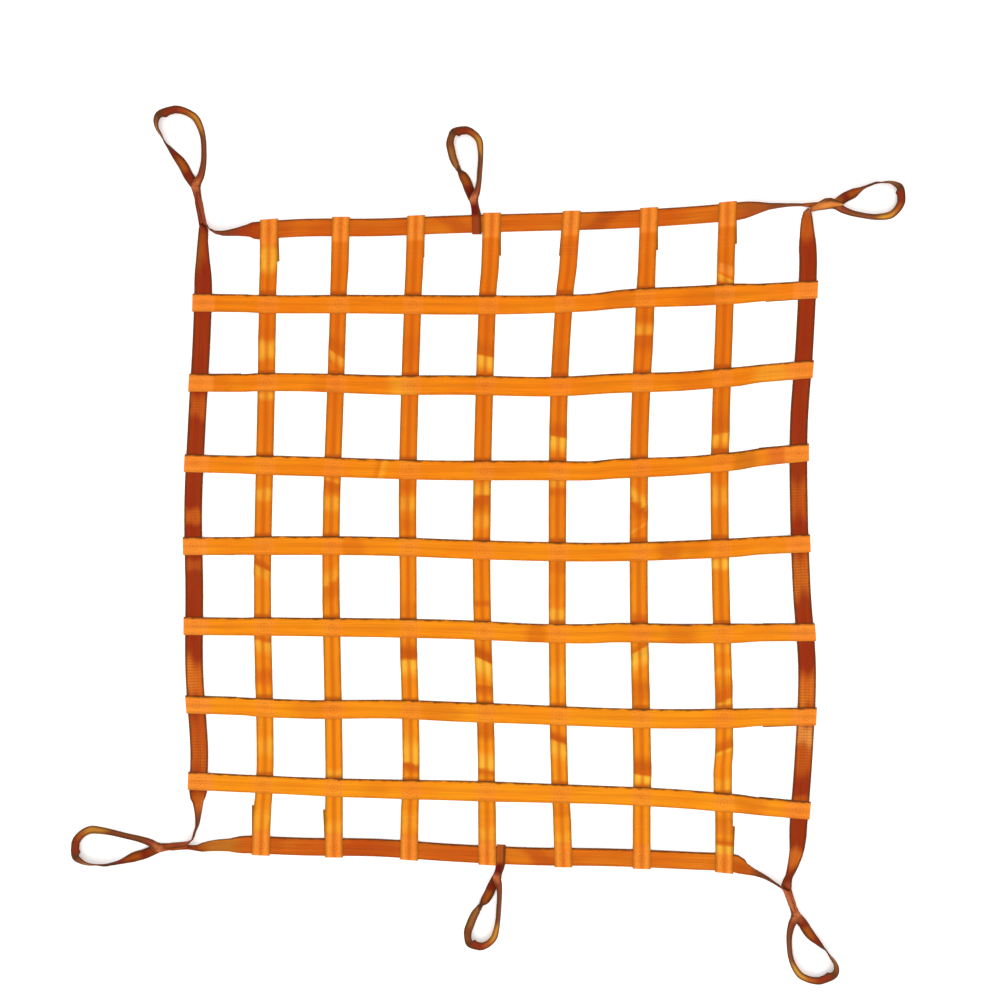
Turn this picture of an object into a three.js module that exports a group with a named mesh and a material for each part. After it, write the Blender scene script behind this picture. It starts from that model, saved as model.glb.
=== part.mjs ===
// Flat cargo lifting net of sewn webbing, lying spread out on the floor.
// Millimetres, +Z up, floor at z = 0, origin under the middle crossing of the net.
import * as THREE from 'three';

// Webbing
const STRAP_WIDTH = 50;
const STRAP_THICK = 2;
const BORDER_WIDTH = 50;
const BORDER_THICK = 3;
const BORDER_GATHERED = 28;
const LOOP_WIDTH = 28;
const LOOP_THICK = 4;
const LOOP_PRESSED = 2;
const LOOP_SLIT = 0.3;
const PIECE_GAP = 0.3;

// Strap ends, folded round the outer edge of the border
const TURN_CLEAR = 1;
const TURN_STEPS = 5;
const STEP_MARGIN = 3;
const STEP_LENGTH = 18;
const TAIL_MARGIN = 4;
const TAIL_STEP = 20;
const STEP_PARTS = 3;

// Crossings and the free webbing between them
const CROSSING_HALF = 32;
const CROSSWISE_SAG = 1.8;
const FREE_PARTS = 3;
const FREE_SHORT = 30;
const FOLD_STATIONS = [1, 0.62, 0.28, 0, -0.28, -0.62, -1];

// Corner necks and eyes
const NECK_STATIONS = [0, 0.28, 0.57, 0.85, 1];
const BORDER_NECK_STATIONS = 4;
const EYE_PARTS = 2;
const BORDER_PART_LENGTH = 60;

// Heights of middle layers above the floor
const FLOOR_MID = STRAP_THICK / 2;
const BORDER_SEAT = STRAP_THICK + PIECE_GAP;
const BORDER_MID = BORDER_SEAT + BORDER_THICK / 2;
const TURN_RADIUS = BORDER_THICK / 2 + PIECE_GAP + STRAP_THICK / 2;
const OVER_STRAP_MID = STRAP_THICK + PIECE_GAP + STRAP_THICK / 2;
const OVER_BORDER_MID = BORDER_MID + TURN_RADIUS;

// Offsets of the layers in a neck from its middle plane
const LOOP_PLY = (LOOP_THICK + PIECE_GAP) / 2;
const BORDER_PLY = LOOP_PLY + LOOP_THICK / 2 + PIECE_GAP + BORDER_THICK / 2;
const NECK_HALF = BORDER_PLY + BORDER_THICK / 2;
const RING_HALF = LOOP_PLY + LOOP_THICK / 2;

// Lengthwise straps: x of the middle line at five heights y, tail lengths, sideways shift of tail tips
const V_LINES = { bottom: -850, lower: -456, middle: 0, upper: 460, top: 907 };
const V_STRAPS = [
  { name: 'strap_v1', bottom: -622, lower: -611, middle: -613, upper: -605, top: -599,
    tailLow: 135, tailHigh: 115, shiftLow: -6, shiftHigh: 6 },
  { name: 'strap_v2', bottom: -417, lower: -418, middle: -422, upper: -410, top: -398,
    tailLow: 129, tailHigh: 112, shiftLow: -6, shiftHigh: 0 },
  { name: 'strap_v3', bottom: -207, lower: -202, middle: -208, upper: -202, top: -188,
    tailLow: 130, tailHigh: 114, shiftLow: 0, shiftHigh: 2 },
  { name: 'strap_v4', bottom: 12, lower: 9, middle: 0, upper: 8, top: 24,
    tailLow: 130, tailHigh: 116, shiftLow: 0, shiftHigh: 5 },
  { name: 'strap_v5', bottom: 224, lower: 213, middle: 211, upper: 217, top: 246,
    tailLow: 130, tailHigh: 120, shiftLow: 1, shiftHigh: -3 },
  { name: 'strap_v6', bottom: 444, lower: 444, middle: 440, upper: 447, top: 463,
    tailLow: 130, tailHigh: 115, shiftLow: 0, shiftHigh: 5 },
  { name: 'strap_v7', bottom: 675, lower: 674, middle: 668, upper: 670, top: 683,
    tailLow: 128, tailHigh: 115, shiftLow: 6, shiftHigh: 5 },
];

// Crosswise straps: y of the middle line at five places x, tail lengths, sideways shift of tail tips
const H_LINES = { left: -798, nearLeft: -417, middle: 0, nearRight: 442, right: 896 };
const H_STRAPS = [
  { name: 'strap_h1', left: 692, nearLeft: 689, middle: 685, nearRight: 703, right: 727,
    tailLow: 138, tailHigh: 140, shiftLow: 0, shiftHigh: -2 },
  { name: 'strap_h2', left: 468, nearLeft: 465, middle: 459, nearRight: 468, right: 504,
    tailLow: 140, tailHigh: 138, shiftLow: 2, shiftHigh: 0 },
  { name: 'strap_h3', left: 242, nearLeft: 232, middle: 223, nearRight: 230, right: 272,
    tailLow: 142, tailHigh: 136, shiftLow: 0, shiftHigh: 2 },
  { name: 'strap_h4', left: 11, nearLeft: 11, middle: 0, nearRight: -1, right: 18,
    tailLow: 140, tailHigh: 141, shiftLow: -1, shiftHigh: 0 },
  { name: 'strap_h5', left: -213, nearLeft: -218, middle: -228, nearRight: -233, right: -230,
    tailLow: 139, tailHigh: 140, shiftLow: 0, shiftHigh: 1 },
  { name: 'strap_h6', left: -433, nearLeft: -446, middle: -456, nearRight: -470, right: -466,
    tailLow: 140, tailHigh: 144, shiftLow: 1, shiftHigh: -4 },
  { name: 'strap_h7', left: -647, nearLeft: -666, middle: -677, nearRight: -692, right: -728,
    tailLow: 137, tailHigh: 140, shiftLow: 0, shiftHigh: 2 },
];

// Folds standing up from the straps: place of the crest along the strap, its height,
// half its length, and how far its crease runs along the strap from one edge to the other
const FOLDS = [
  { strap: 'strap_v1', at: 585, rise: 7, reach: 45, slant: 0 },
  { strap: 'strap_v1', at: -72, rise: 10, reach: 34, slant: -30 },
  { strap: 'strap_v1', at: -364, rise: 6, reach: 34, slant: 6 },
  { strap: 'strap_v2', at: 554, rise: 7, reach: 40, slant: -16 },
  { strap: 'strap_v2', at: 154, rise: 5, reach: 34, slant: 8 },
  { strap: 'strap_v2', at: -140, rise: 5, reach: 38, slant: 12 },
  { strap: 'strap_v3', at: 575, rise: 5, reach: 45, slant: 0 },
  { strap: 'strap_v3', at: -308, rise: 11, reach: 40, slant: -8 },
  { strap: 'strap_v3', at: -545, rise: 5, reach: 45, slant: 0 },
  { strap: 'strap_v4', at: 540, rise: 10, reach: 38, slant: -10 },
  { strap: 'strap_v4', at: 94, rise: 12, reach: 48, slant: 0 },
  { strap: 'strap_v4', at: -160, rise: 4, reach: 30, slant: 0 },
  { strap: 'strap_v4', at: -310, rise: 12, reach: 34, slant: -24 },
  { strap: 'strap_v4', at: -396, rise: 5, reach: 24, slant: 0 },
  { strap: 'strap_v4', at: -546, rise: 7, reach: 45, slant: 0 },
  { strap: 'strap_v5', at: 316, rise: 10, reach: 40, slant: 0 },
  { strap: 'strap_v5', at: -132, rise: 6, reach: 45, slant: 6 },
  { strap: 'strap_v5', at: -550, rise: 9, reach: 38, slant: -26 },
  { strap: 'strap_v6', at: 634, rise: 6, reach: 30, slant: 0 },
  { strap: 'strap_v6', at: 560, rise: 6, reach: 38, slant: 0 },
  { strap: 'strap_v6', at: 86, rise: 11, reach: 34, slant: 36 },
  { strap: 'strap_v6', at: -304, rise: 10, reach: 28, slant: 16 },
  { strap: 'strap_v6', at: -400, rise: 5, reach: 30, slant: 0 },
  { strap: 'strap_v6', at: -618, rise: 10, reach: 36, slant: 0 },
  { strap: 'strap_v7', at: 786, rise: 6, reach: 28, slant: -16 },
  { strap: 'strap_v7', at: 330, rise: 8, reach: 42, slant: 0 },
  { strap: 'strap_v7', at: -390, rise: 9, reach: 32, slant: 14 },
  { strap: 'strap_v7', at: -575, rise: 9, reach: 40, slant: 26 },
  { strap: 'strap_h1', at: 329, rise: 5, reach: 50, slant: 0 },
  { strap: 'strap_h3', at: -290, rise: 5, reach: 34, slant: 10 },
  { strap: 'strap_h5', at: 120, rise: 4, reach: 50, slant: 0 },
  { strap: 'strap_h5', at: 552, rise: 4, reach: 55, slant: 0 },
];

// Borders, walked clockwise: middle line, lean of the strap (90 flat, 0 on edge) and its width
const FLAT = { lean: 90, width: BORDER_WIDTH };
const BORDERS = [
  { name: 'border_top', from: 'loop_top_left', to: 'loop_top_right', rows: [
    { x: -764, y: 897, lean: 4, width: 27 },
    { x: -748, y: 888, lean: 8, width: 30 },
    { x: -728, y: 885, lean: 14, width: 34 },
    { x: -690, y: 888, lean: 32, width: 42 },
    { x: -655, y: 892, lean: 50, width: 48 },
    { x: -630, y: 894, ...FLAT },
    { x: -498, y: 902, ...FLAT },
    { x: -294, y: 903, ...FLAT },
    { x: -87, y: 911, ...FLAT },
    { x: 132, y: 917, ...FLAT },
    { x: 350, y: 923, ...FLAT },
    { x: 574, y: 936, ...FLAT },
    { x: 712, y: 948, ...FLAT },
    { x: 760, y: 955, lean: 50, width: 44 },
    { x: 800, y: 960, lean: 22, width: 36 },
    { x: 850, y: 964, lean: 8, width: 30 },
    { x: 890, y: 965, lean: 4, width: 27 },
  ] },
  { name: 'border_right', from: 'loop_top_right', to: 'loop_bottom_right', rows: [
    { x: 909, y: 946, lean: 12, width: 27 },
    { x: 904, y: 928, lean: 40, width: 40 },
    { x: 906, y: 882, lean: 60, width: 45 },
    { x: 909, y: 838, ...FLAT },
    { x: 910, y: 806, ...FLAT },
    { x: 900, y: 580, ...FLAT },
    { x: 884, y: 350, ...FLAT },
    { x: 884, y: 120, ...FLAT },
    { x: 892, y: -109, ...FLAT },
    { x: 907, y: -336, ...FLAT },
    { x: 898, y: -566, ...FLAT },
    { x: 883, y: -765, ...FLAT },
    { x: 876, y: -840, lean: 52, width: 46 },
    { x: 867, y: -876, lean: 42, width: 40 },
    { x: 854, y: -915, lean: 24, width: 32 },
    { x: 852, y: -938, lean: 14, width: 28 },
  ] },
  { name: 'border_bottom', from: 'loop_bottom_right', to: 'loop_bottom_left', rows: [
    { x: 834, y: -943, lean: 3, width: 27 },
    { x: 809, y: -926, lean: 6, width: 30 },
    { x: 784, y: -911, lean: 12, width: 33 },
    { x: 759, y: -900, lean: 20, width: 38 },
    { x: 734, y: -890, lean: 38, width: 44 },
    { x: 708, y: -878, ...FLAT },
    { x: 574, y: -869, ...FLAT },
    { x: 350, y: -860, ...FLAT },
    { x: 132, y: -857, ...FLAT },
    { x: -87, y: -847, ...FLAT },
    { x: -294, y: -833, ...FLAT },
    { x: -498, y: -830, ...FLAT },
    { x: -655, y: -824, ...FLAT },
    { x: -708, y: -823, lean: 42, width: 46 },
    { x: -756, y: -825, lean: 34, width: 44 },
    { x: -784, y: -830, lean: 20, width: 36 },
    { x: -800, y: -832, lean: 8, width: 29 },
  ] },
  { name: 'border_left', from: 'loop_bottom_left', to: 'loop_top_left', rows: [
    { x: -813, y: -810, lean: 2, width: 27 },
    { x: -806, y: -790, lean: 4, width: 29 },
    { x: -799, y: -771, lean: 8, width: 31 },
    { x: -795, y: -736, lean: 20, width: 38 },
    { x: -795, y: -704, lean: 34, width: 44 },
    { x: -797, y: -676, ...FLAT },
    { x: -794, y: -566, ...FLAT },
    { x: -808, y: -336, ...FLAT },
    { x: -808, y: -109, ...FLAT },
    { x: -811, y: 120, ...FLAT },
    { x: -801, y: 350, ...FLAT },
    { x: -788, y: 580, ...FLAT },
    { x: -783, y: 725, ...FLAT },
    { x: -782, y: 806, lean: 48, width: 47 },
    { x: -782, y: 840, lean: 40, width: 44 },
    { x: -782, y: 868, lean: 36, width: 40 },
    { x: -785, y: 895, lean: 26, width: 33 },
  ] },
];

// Eyes: neck from its base to the throat, direction of the eye in degrees, length from the throat
// to the crown, width, how far its wide and narrow branches bow out of the common form (of half the
// width), lean of the neck at both ends, and the side the wide branch lies on
const CORNER_LOOPS = [
  { name: 'loop_top_left', baseX: -783, baseY: 913, throatX: -803, throatY: 1016, heading: 104,
    length: 227, width: 119, wideBow: 0.02, narrowBow: 0, baseLean: 15, throatLean: 60, side: 1 },
  { name: 'loop_top_right', baseX: 917, baseY: 959, throatX: 983, throatY: 967, heading: 2,
    length: 190, width: 94, wideBow: 0.36, narrowBow: 0.06, baseLean: 22, throatLean: 62, side: 1 },
  { name: 'loop_bottom_right', baseX: 851, baseY: -952, throatX: 875, throatY: -1020, heading: -71,
    length: 199, width: 109, wideBow: 0, narrowBow: -0.08, baseLean: 22, throatLean: 58, side: 1 },
  { name: 'loop_bottom_left', baseX: -825, baseY: -825, throatX: -905, throatY: -832, heading: 175.7,
    length: 238, width: 102, wideBow: 0.42, narrowBow: 0.15, baseLean: 15, throatLean: 60, side: 1 },
];

// Eyes that pass round a border: middle and width of the wrap, throat and the same eye columns
const MIDDLE_LOOPS = [
  { name: 'loop_top_middle', border: 'border_top', wrapX: -18, wrapWidth: 26,
    throatX: -26, throatY: 979, heading: 95.5,
    length: 199, width: 87, wideBow: 0.33, narrowBow: 0.14, baseLean: 90, throatLean: 62, side: 1 },
  { name: 'loop_bottom_middle', border: 'border_bottom', wrapX: 53, wrapWidth: 24,
    throatX: 39, throatY: -914, heading: -102.6,
    length: 203, width: 80, wideBow: 0.18, narrowBow: -0.17, baseLean: 90, throatLean: 62, side: -1 },
];

// Form of every eye, walked up the wide branch, over the crown and down the narrow branch:
// place along the eye (of its length), aside (of half its width), lean of the webbing outwards
const EYE_FORM = [
  { along: 0.17, aside: 0.23, lean: 68 },
  { along: 0.26, aside: 0.3, lean: 72 },
  { along: 0.35, aside: 0.4, lean: 60 },
  { along: 0.45, aside: 0.58, lean: 36 },
  { along: 0.54, aside: 0.73, lean: 16 },
  { along: 0.61, aside: 0.86, lean: 2 },
  { along: 0.71, aside: 0.96, lean: -8 },
  { along: 0.82, aside: 1.08, lean: -18 },
  { along: 0.92, aside: 1.05, lean: -32 },
  { along: 0.98, aside: 0.86, lean: -38 },
  { along: 1.0, aside: 0.48, lean: -40 },
  { along: 1.0, aside: 0.09, lean: -40 },
  { along: 0.94, aside: -0.36, lean: -34 },
  { along: 0.83, aside: -0.74, lean: -38 },
  { along: 0.71, aside: -0.87, lean: -32 },
  { along: 0.56, aside: -0.89, lean: -21 },
  { along: 0.4, aside: -0.78, lean: -19 },
  { along: 0.24, aside: -0.6, lean: -22 },
  { along: 0.11, aside: -0.34, lean: -32 },
  { along: 0.04, aside: -0.1, lean: -46 },
];
const CROWN_ROW = 10;
const BOW_LENGTH = 0.9;

// Colours of the webbing
const COLOURS = {
  strap_v: 0xe28e28,
  strap_h: 0xf09215,
  border_top: 0xd26611,
  border_right: 0x9e3508,
  border_bottom: 0xd1751e,
  border_left: 0x903004,
  loop: 0xa23a12,
};
const WEBBING_ROUGHNESS = 0.85;

const UP = new THREE.Vector3(0, 0, 1);
const SIDES = [-1, 1];

const mix = (a, b, f) => a + (b - a) * f;
const ease = (f) => f * f * (3 - 2 * f);
const radians = THREE.MathUtils.degToRad;

// Smooth line through values at rising stations, straight on beyond both ends
function smoothLine(stations, values) {
  const last = stations.length - 1;
  const slope = (i) => {
    const a = Math.max(i - 1, 0);
    const b = Math.min(i + 1, last);
    return (values[b] - values[a]) / (stations[b] - stations[a]);
  };
  return (at) => {
    if (at <= stations[0]) {
      return values[0] + slope(0) * (at - stations[0]);
    }
    if (at >= stations[last]) {
      return values[last] + slope(last) * (at - stations[last]);
    }
    const i = stations.findIndex((station) => station >= at) - 1;
    const span = stations[i + 1] - stations[i];
    const f = (at - stations[i]) / span;
    const pull = f * (1 - f) * span;
    return mix(values[i], values[i + 1], ease(f)) + pull * ((1 - f) * slope(i) - f * slope(i + 1));
  };
}

// Sections of a ribbon: outlines in its own plane, with the share of each corner across the width
const BAND = { across: [-1, -1, 1, 1], caps: [[0, 1, 2, 3]] };
const FOLDED = {
  across: [-1, -1, 0.8, 0.8, -1, -1, 1, 1],
  caps: [[0, 1, 2, 7], [7, 2, 3, 6], [6, 3, 4, 5]],
};

// Closed solid through rings of corners; each ring has the corners of its section
function loft(rings, section, endless) {
  const size = section.across.length;
  const corners = rings.flat();
  const far = rings.map((ring) => ring.reduce((sum, p) => sum.add(p), new THREE.Vector3()).length());
  const index = [];
  const spans = endless ? rings.length : rings.length - 1;
  for (let i = 0; i < spans; i += 1) {
    const k = (i + 1) % rings.length;
    for (let j = 0; j < size; j += 1) {
      const m = (j + 1) % size;
      const a = i * size + j;
      const b = k * size + j;
      const c = k * size + m;
      const d = i * size + m;
      const rising = section.across[m] >= section.across[j];
      if (rising === far[k] > far[i]) {
        index.push(a, b, c, a, c, d);
      } else {
        index.push(a, b, d, b, c, d);
      }
    }
  }
  if (!endless) {
    const end = (rings.length - 1) * size;
    section.caps.forEach(([a, b, c, d]) => {
      index.push(a, b, c, a, c, d);
      index.push(end + a, end + c, end + b, end + a, end + d, end + c);
    });
  }
  return closedGeometry(corners, index);
}

// Geometry with its faces turned outwards
function closedGeometry(corners, index) {
  let volume = 0;
  for (let i = 0; i < index.length; i += 3) {
    const [a, b, c] = [corners[index[i]], corners[index[i + 1]], corners[index[i + 2]]];
    volume += a.dot(new THREE.Vector3().crossVectors(b, c));
  }
  const outward = [];
  for (let i = 0; i < index.length; i += 3) {
    const [a, b, c] = [index[i], index[i + 1], index[i + 2]];
    outward.push(a, volume > 0 ? b : c, volume > 0 ? c : b);
  }
  const geometry = new THREE.BufferGeometry().setFromPoints(corners);
  geometry.setIndex(outward);
  geometry.computeVertexNormals();
  return geometry;
}

// Directions across and out of a ribbon that runs along a heading and leans outwards
function ribbonFrame(heading, lean, side) {
  const left = new THREE.Vector3(-heading.y, heading.x, 0).multiplyScalar(side);
  const tilt = radians(lean);
  const across = UP.clone().multiplyScalar(Math.cos(tilt)).addScaledVector(left, Math.sin(tilt));
  const out = UP.clone().multiplyScalar(Math.sin(tilt)).addScaledVector(left, -Math.cos(tilt));
  return { across, out };
}

// Height of the middle of a leaning ribbon that rests on the floor
function restHeight(lean, width, thick) {
  const tilt = radians(lean);
  return Math.abs(Math.cos(tilt)) * width / 2 + Math.abs(Math.sin(tilt)) * thick / 2;
}

function bandRing({ centre, across, out, width, thick }) {
  const corner = (u, v) => centre.clone()
    .addScaledVector(across, u * width / 2)
    .addScaledVector(out, v * thick / 2);
  return [corner(-1, -1), corner(-1, 1), corner(1, 1), corner(1, -1)];
}

// Webbing folded in half along its length, fold on the upper edge, a slit between the two layers
function foldedRing({ centre, across, out, width, thick }) {
  const edge = width / 2;
  const face = thick / 2;
  const slit = LOOP_SLIT / 2;
  const fold = edge - (face - slit);
  const corner = (u, v) => centre.clone().addScaledVector(across, u).addScaledVector(out, v);
  return [
    corner(-edge, -face), corner(-edge, -slit), corner(fold, -slit), corner(fold, slit),
    corner(-edge, slit), corner(-edge, face), corner(edge, face), corner(edge, -face),
  ];
}

// Neck of an eye: stations from its base to its throat
function neckStations(loop, base, half) {
  const throat = new THREE.Vector3(loop.throatX, loop.throatY, 0);
  const heading = throat.clone().sub(base).normalize();
  return NECK_STATIONS.map((f) => {
    const lean = mix(loop.baseLean, loop.throatLean, f);
    const tilt = radians(lean);
    const centre = base.clone().lerp(throat, f);
    centre.z = Math.cos(tilt) * LOOP_WIDTH / 2 + Math.sin(tilt) * half;
    return { centre, lean, heading, ...ribbonFrame(heading, lean, loop.side) };
  });
}

function cornerNeck(loop) {
  return neckStations(loop, new THREE.Vector3(loop.baseX, loop.baseY, 0), NECK_HALF);
}

// Layer of a neck at an offset from its middle plane
function plySections(stations, offset, width, thick) {
  return stations.map((station) => ({
    ...station,
    centre: station.centre.clone().addScaledVector(station.out, offset),
    width,
    thick,
  }));
}

// Sections of a loop walked back towards its base
function walkedBack(sections) {
  return sections.map((section) => ({
    ...section,
    lean: -section.lean,
    heading: section.heading.clone().negate(),
    out: section.out.clone().negate(),
  })).reverse();
}

// Sections of a border from one corner neck to the other
function borderSections(border, necks) {
  const inNeck = (name, offset) => plySections(
    necks[name].slice(0, BORDER_NECK_STATIONS), offset, BORDER_GATHERED, BORDER_THICK);
  const marks = [
    ...walkedBack(inNeck(border.from, BORDER_PLY)),
    ...border.rows.map((row) => ({ ...row, centre: new THREE.Vector3(row.x, row.y, 0) })),
    ...inNeck(border.to, -BORDER_PLY),
  ];
  const plan = marks.map(({ centre }) => new THREE.Vector3(centre.x, centre.y, 0));
  const line = new THREE.CatmullRomCurve3(plan, false, 'centripetal');
  const last = marks.length - 1;
  const sections = [];
  marks.forEach((mark, i) => {
    const next = marks[Math.min(i + 1, last)];
    const span = plan[i].distanceTo(plan[Math.min(i + 1, last)]);
    const parts = Math.max(1, Math.round(span / BORDER_PART_LENGTH));
    for (let k = 0; k < parts; k += 1) {
      if (k === 0 && mark.out) {
        sections.push(mark);
      } else {
        const f = k / parts;
        const lean = mix(mark.lean, next.lean, f);
        const width = mix(mark.width, next.width, f);
        const centre = line.getPoint((i + f) / last);
        const heading = line.getTangent((i + f) / last);
        const seat = BORDER_SEAT * (lean / FLAT.lean) ** 2;
        centre.z = seat + restHeight(lean, width, BORDER_THICK);
        sections.push({ centre, lean, heading, width, thick: BORDER_THICK,
          ...ribbonFrame(heading, lean, 1) });
      }
    }
  });
  return sections;
}

// Point of a flat border's edge (1 outer, 0 middle, -1 inner) where one of its coordinates has a value
function borderEdge(sections, axis, value, edge) {
  const flat = sections.filter((section) => section.lean === FLAT.lean);
  const line = flat.map((section) => section.centre.clone()
    .addScaledVector(section.across, edge * BORDER_WIDTH / 2));
  const i = line.findIndex((p, k) => k + 1 < line.length
    && (p[axis] - value) * (line[k + 1][axis] - value) <= 0);
  const f = (value - line[i][axis]) / (line[i + 1][axis] - line[i][axis]);
  return {
    point: line[i].clone().lerp(line[i + 1], f),
    outward: flat[i].across.clone().lerp(flat[i + 1].across, f).normalize(),
  };
}

// Straps with their middle line, ends, crossings, level and direction
function describeStraps(borders) {
  const lengthwise = V_STRAPS.map((row) => ({
    ...row,
    line: smoothLine(Object.values(V_LINES), Object.keys(V_LINES).map((key) => row[key])),
    level: FLOOR_MID,
    sag: 0,
    alongAxis: 'y',
    acrossAxis: 'x',
    low: { at: V_LINES.bottom, sign: -1, border: borders.border_bottom,
      tail: row.tailLow, shift: row.shiftLow },
    high: { at: V_LINES.top, sign: 1, border: borders.border_top,
      tail: row.tailHigh, shift: row.shiftHigh },
    place: (along, across, z) => new THREE.Vector3(across, along, z),
  }));
  const crosswise = H_STRAPS.map((row) => ({
    ...row,
    line: smoothLine(Object.values(H_LINES), Object.keys(H_LINES).map((key) => row[key])),
    level: OVER_STRAP_MID,
    sag: CROSSWISE_SAG,
    alongAxis: 'x',
    acrossAxis: 'y',
    low: { at: H_LINES.left, sign: -1, border: borders.border_left,
      tail: row.tailLow, shift: row.shiftLow },
    high: { at: H_LINES.right, sign: 1, border: borders.border_right,
      tail: row.tailHigh, shift: row.shiftHigh },
    place: (along, across, z) => new THREE.Vector3(along, across, z),
  }));
  const link = (strap, others) => {
    strap.crossings = others.map((other) => {
      let along = other.line(strap.line(0));
      along = other.line(strap.line(along));
      return along;
    }).sort((a, b) => b - a);
    strap.folds = FOLDS.filter((fold) => fold.strap === strap.name).sort((a, b) => b.at - a.at);
  };
  lengthwise.forEach((strap) => link(strap, crosswise));
  crosswise.forEach((strap) => link(strap, lengthwise));
  return [...lengthwise, ...crosswise];
}

// End of a strap from the tip of its tail round the border and down to its own level
function endStations(strap, end) {
  const middle = strap.line(end.at);
  const edgeAt = (edge) => SIDES.map((side) => {
    const across = middle + side * STRAP_WIDTH / 2;
    return borderEdge(end.border, strap.acrossAxis, across, edge).point[strap.alongAxis];
  });
  const outer = edgeAt(1);
  const inner = edgeAt(-1);
  const inset = (from, distance) => from.map((along) => along - end.sign * distance);
  const rows = [{ along: inset(outer, end.tail), z: FLOOR_MID, shift: end.shift }];
  for (let k = 0; k <= TURN_STEPS; k += 1) {
    const turn = Math.PI * k / TURN_STEPS;
    rows.push({
      along: inset(outer, -TURN_CLEAR - TURN_RADIUS * Math.sin(turn)),
      z: BORDER_MID - TURN_RADIUS * Math.cos(turn),
      shift: 0,
    });
  }
  for (let k = 0; k <= STEP_PARTS; k += 1) {
    const f = k / STEP_PARTS;
    rows.push({
      along: inset(inner, STEP_MARGIN + STEP_LENGTH * f),
      z: mix(OVER_BORDER_MID, OVER_STRAP_MID, ease(f)),
      shift: 0,
    });
  }
  if (strap.level < OVER_STRAP_MID) {
    for (let k = 0; k <= STEP_PARTS; k += 1) {
      const f = k / STEP_PARTS;
      rows.push({
        along: inset(outer, end.tail + TAIL_MARGIN + TAIL_STEP * f),
        z: mix(OVER_STRAP_MID, strap.level, ease(f)),
        shift: 0,
      });
    }
  } else {
    rows.push({ along: inset(outer, end.tail + TAIL_MARGIN), z: strap.level, shift: 0 });
  }
  return rows;
}

// Free webbing between two places along a strap, with the folds that stand in it
function freeStations(strap, from, to) {
  const folds = strap.folds.filter((fold) => fold.at < from && fold.at > to);
  if (folds.length > 0) {
    return folds.flatMap((fold) => FOLD_STATIONS.map((f) => ({
      along: SIDES.map((side) => fold.at + f * fold.reach + side * fold.slant / 2),
      z: strap.level - strap.sag / 2 * (1 - Math.abs(f)) + fold.rise * Math.cos(f * Math.PI / 2) ** 2,
      shift: 0,
    })));
  }
  const parts = from - to > FREE_SHORT ? FREE_PARTS : 1;
  const rows = [];
  for (let k = 1; k < parts; k += 1) {
    const along = mix(from, to, k / parts);
    rows.push({ along: [along, along], z: strap.level - strap.sag, shift: 0 });
  }
  return rows;
}

// Whole strap from the tail at its high end to the tail at its low end
function strapStations(strap) {
  const high = endStations(strap, strap.high);
  const low = endStations(strap, strap.low).reverse();
  const rows = [...high];
  let from = Math.min(...high[high.length - 1].along);
  strap.crossings.forEach((at) => {
    rows.push(...freeStations(strap, from, at + CROSSING_HALF));
    rows.push({ along: [at + CROSSING_HALF, at + CROSSING_HALF], z: strap.level, shift: 0 });
    rows.push({ along: [at - CROSSING_HALF, at - CROSSING_HALF], z: strap.level, shift: 0 });
    from = at - CROSSING_HALF;
  });
  rows.push(...freeStations(strap, from, Math.max(...low[0].along)));
  rows.push(...low);
  return rows;
}

// Normals of an edge seen from the side, drawn out at bends so that the webbing keeps its thickness
function edgeNormals(path) {
  const direction = (a, b) => new THREE.Vector2(b.along - a.along, b.z - a.z).normalize();
  return path.map((p, i) => {
    const before = i > 0 ? direction(path[i - 1], p) : direction(p, path[i + 1]);
    const after = i + 1 < path.length ? direction(p, path[i + 1]) : before;
    const along = before.clone().add(after).normalize();
    const stretch = 1 / along.dot(before);
    return { along: -along.y * stretch, z: along.x * stretch };
  });
}

function strapRings(strap) {
  const rows = strapStations(strap);
  const edges = SIDES.map((side, k) => rows.map((row) => ({ along: row.along[k], z: row.z })));
  const normals = edges.map(edgeNormals);
  return rows.map((row, i) => {
    const corner = (k, face) => {
      const { along, z } = edges[k][i];
      const normal = normals[k][i];
      const offset = face * STRAP_THICK / 2;
      const across = strap.line(along) + SIDES[k] * STRAP_WIDTH / 2 + row.shift;
      return strap.place(along + normal.along * offset, across, z + normal.z * offset);
    };
    return [corner(0, -1), corner(0, 1), corner(1, 1), corner(1, -1)];
  });
}

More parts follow.
